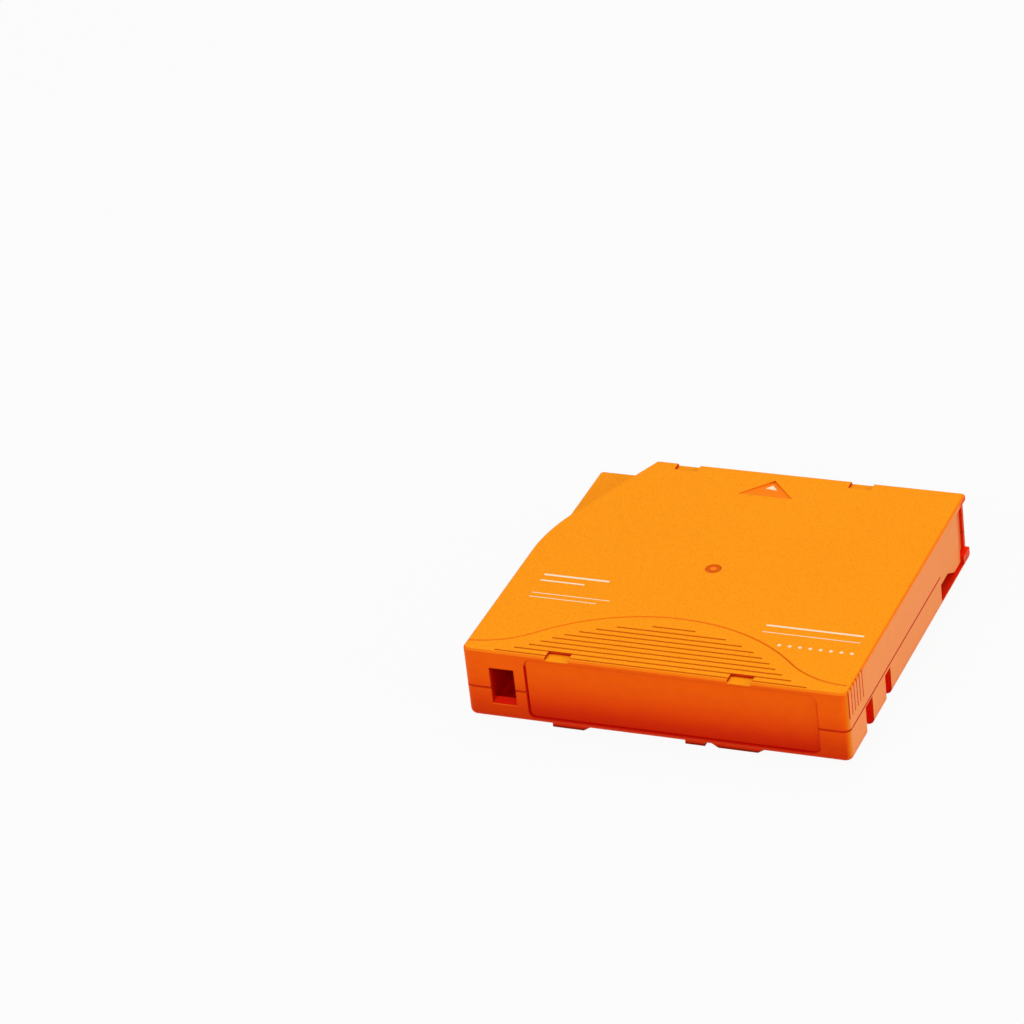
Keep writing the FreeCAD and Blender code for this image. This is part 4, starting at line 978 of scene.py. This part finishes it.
def addBrakeCoil():
    values = brakeCoil
    mesh = bmesh.new()
    start = (reelAxisX + values["radius"], 0.0, values["base"])
    verts = startWire(mesh, start, (0.0, 1.0, 0.0), values["wire"], values["sides"])
    steps = round(values["turns"] * values["turnSteps"])
    rise = values["top"] - values["base"]
    windUp(mesh, verts, (reelAxisX, 0.0, 0.0), values["turns"] * math.tau, rise, steps)
    closeWire(mesh)
    print("brake coil open edges:", openEdges(mesh))
    piece = finishPiece(mesh, "brakeCoil", "springSteel", "case")
    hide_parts("brake_spring")
    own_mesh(piece)


doorCoil = {
    "centre": (44.8 * mm, 27.0 * mm),
    "radius": 2.2 * mm,
    "wire": 0.25 * mm,        # radius of the wire
    "base": 2.8 * mm,
    "risePerTurn": 0.6 * mm,
    "heel": (48.85 * mm, 18.0 * mm),      # leg against the rail
    "tip": (49.65 * mm, 39.75 * mm),      # leg behind the door's lug
    "bendFrom": (47.4 * mm, 29.6 * mm),   # from here the tip's leg follows the door
    "wholeTurns": 3,
    "turnSteps": 28,
    "heelSteps": 4,
    "tipSteps": 24,
    "sides": 10,
}


def tangentTurn(end, side):
    # angle at which a straight leg from this end meets the coil
    away = Vector(end) - Vector(doorCoil["centre"])
    return math.atan2(away.y, away.x) - side * math.acos(doorCoil["radius"] / away.length)


def addDoorCoil():
    values = doorCoil
    heelTurn, tipTurn = tangentTurn(values["heel"], -1), tangentTurn(values["tip"], 1)
    angle = tipTurn - heelTurn + values["wholeTurns"] * math.tau
    rise = values["risePerTurn"] * angle / math.tau
    centre = Vector((*values["centre"], values["base"]))
    heel = Vector((*values["heel"], values["base"]))
    tip = Vector((*values["tip"], values["base"] + rise))
    first = centre + values["radius"] * Vector((math.cos(heelTurn), math.sin(heelTurn), 0.0))
    last = centre + values["radius"] * Vector((math.cos(tipTurn), math.sin(tipTurn), 0.0))
    last.z += rise
    mesh = bmesh.new()
    verts = startWire(mesh, heel, first - heel, values["wire"], values["sides"])
    verts = drawOut(mesh, verts, first - heel, values["heelSteps"])
    verts = windUp(mesh, verts, centre, angle, rise, round(angle / math.tau * values["turnSteps"]))
    drawOut(mesh, verts, tip - last, values["tipSteps"])
    closeWire(mesh)
    print("door coil open edges:", openEdges(mesh))
    piece = finishPiece(mesh, "doorCoil", "springSteel", None)
    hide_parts("door_spring")
    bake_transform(piece)


addBrakeCoil()
addDoorCoil()


# white print on the roof

roofPrint = {
    "lift": 0.012 * mm,
    "thick": 0.012 * mm,
    "bars": [                              # x0, x1, y0, y1 in mm
        (-44.5, -26.0, -12.4, -11.6),
        (-44.5, -32.0, -15.2, -14.6),
        (-44.5, -22.5, -21.3, -21.0),
        (-44.5, -25.5, -23.3, -23.0),
        (22.0, 48.5, -24.0, -23.3),
        (22.0, 48.5, -27.0, -26.7),
    ],
    "dots": {"count": 8, "x0": 28.4, "pitch": 2.8, "y": -32.2, "radius": 0.5, "sides": 24},
    "arrow": [(-1.4, 43.0, 0.383), (2.05, 42.6, 0.367), (0.05, 45.2, 0.475)],   # x, y, depth in mm
    "speckle": 3200.0,
    "stops": (0.3, 0.7),
    "low": (0.80, 0.60, 0.36),
    "high": (0.90, 0.76, 0.56),
    "rough": (0.55, 0.7),
}


def makeInk():
    material, tree, shader, vector = startMaterial("whiteInk")
    speckle = noiseOn(tree, vector, roofPrint["speckle"])
    colour = twoTone(tree, speckle, roofPrint["stops"], roofPrint["low"], roofPrint["high"])
    tree.links.new(colour, shader.inputs["Base Color"])
    tree.links.new(rangeOn(tree, speckle, *roofPrint["rough"]), shader.inputs["Roughness"])
    return material


def extrudeUp(mesh, height):
    # every face stays as the underside of a thin slab
    raised = bmesh.ops.extrude_face_region(mesh, geom=mesh.faces[:])
    bmesh.ops.translate(mesh, verts=newVerts(raised["geom"]), vec=(0.0, 0.0, height))


def addPrint():
    finishes["whiteInk"] = makeInk()
    level = cadHigh.z + roofPrint["lift"]
    mesh = bmesh.new()
    for x0, x1, y0, y1 in roofPrint["bars"]:
        made = bmesh.ops.create_grid(mesh, x_segments=1, y_segments=1, size=0.5)
        place = Matrix.Translation(((x0 + x1) / 2 * mm, (y0 + y1) / 2 * mm, level))
        size = Matrix.Diagonal(((x1 - x0) * mm, (y1 - y0) * mm, 1.0, 1.0))
        bmesh.ops.transform(mesh, matrix=place @ size, verts=made["verts"])
    dots = roofPrint["dots"]
    for index in range(dots["count"]):
        x = (dots["x0"] + index * dots["pitch"]) * mm
        bmesh.ops.create_circle(
            mesh, cap_ends=True, segments=dots["sides"], radius=dots["radius"] * mm,
            matrix=Matrix.Translation((x, dots["y"] * mm, level)),
        )
    arrow = [(x * mm, y * mm, level - depth * mm) for x, y, depth in roofPrint["arrow"]]
    mesh.faces.new([mesh.verts.new(corner) for corner in arrow])
    extrudeUp(mesh, roofPrint["thick"])
    bmesh.ops.recalc_face_normals(mesh, faces=mesh.faces)
    finishPiece(mesh, "roofPrint", "whiteInk", "case")


addPrint()
print("print added")


# studio

studio = {
    "floorSize": 4.0,
    "floorDrop": 0.02 * mm,   # keeps the floor just clear of the feet
    "floorGrey": (0.5, 0.5, 0.5),
    "floorWhite": 0.94,       # share of the floor that shines by itself
    "fill": 0.45,             # light from all round
    "boxes": [                # place, aim, width, height, watts
        ((-0.05, 0.55, 1.15), (0.0, 0.0, 0.01), 1.1, 0.9, 6.8),
        ((1.05, -0.10, 0.35), (0.05, 0.0, 0.01), 0.7, 0.5, 5.3),
        ((-0.45, -1.00, 0.60), (0.0, -0.05, 0.01), 0.7, 0.6, 6.5),
    ],
}


def showsWhite(tree):
    path = tree.nodes.new("ShaderNodeLightPath")
    seen = mathOn(tree, "MAXIMUM", path.outputs["Is Camera Ray"], path.outputs["Is Glossy Ray"])
    return mathOn(tree, "MAXIMUM", seen, path.outputs["Is Transmission Ray"])


def makeFloorPaint():
    material = bpy.data.materials.new("paleFloor")
    material.use_nodes = True
    tree = material.node_tree
    tree.nodes.clear()
    output = tree.nodes.new("ShaderNodeOutputMaterial")
    paint = tree.nodes.new("ShaderNodeBsdfDiffuse")
    paint.inputs["Color"].default_value = (*studio["floorGrey"], 1.0)
    glow = tree.nodes.new("ShaderNodeEmission")
    glow.inputs["Color"].default_value = (*white, 1.0)
    mix = tree.nodes.new("ShaderNodeMixShader")
    tree.links.new(mathOn(tree, "MULTIPLY", showsWhite(tree), studio["floorWhite"]), mix.inputs["Fac"])
    tree.links.new(paint.outputs["BSDF"], mix.inputs[1])
    tree.links.new(glow.outputs["Emission"], mix.inputs[2])
    tree.links.new(mix.outputs["Shader"], output.inputs["Surface"])
    return material


def addFloor():
    mesh = bmesh.new()
    below = Matrix.Translation((0.0, 0.0, -studio["floorDrop"]))
    bmesh.ops.create_grid(mesh, x_segments=1, y_segments=1, size=studio["floorSize"], matrix=below)
    data = bpy.data.meshes.new("floor")
    mesh.to_mesh(data)
    mesh.free()
    data.materials.append(makeFloorPaint())
    floor = bpy.data.objects.new("floor", data)
    scene.collection.objects.link(floor)


def addWorld():
    world = bpy.data.worlds.new("studioWorld")
    world.use_nodes = True
    scene.world = world
    tree = world.node_tree
    tree.nodes.clear()
    output = tree.nodes.new("ShaderNodeOutputWorld")
    sky = tree.nodes.new("ShaderNodeBackground")
    sky.inputs["Color"].default_value = (*white, 1.0)
    tree.links.new(rangeOn(tree, showsWhite(tree), studio["fill"], 1.0), sky.inputs["Strength"])
    tree.links.new(sky.outputs["Background"], output.inputs["Surface"])


def addLights():
    for index, (place, aim, width, height, watts) in enumerate(studio["boxes"]):
        data = bpy.data.lights.new("softBox%d" % index, "AREA")
        data.shape = "RECTANGLE"
        data.size = width
        data.size_y = height
        data.energy = watts
        lamp = bpy.data.objects.new("softBox%d" % index, data)
        lamp.location = place
        lamp.rotation_euler = (Vector(aim) - Vector(place)).to_track_quat("-Z", "Y").to_euler()
        scene.collection.objects.link(lamp)


addFloor()
addWorld()
addLights()
scene.view_settings.view_transform = "Standard"
print("studio ready")
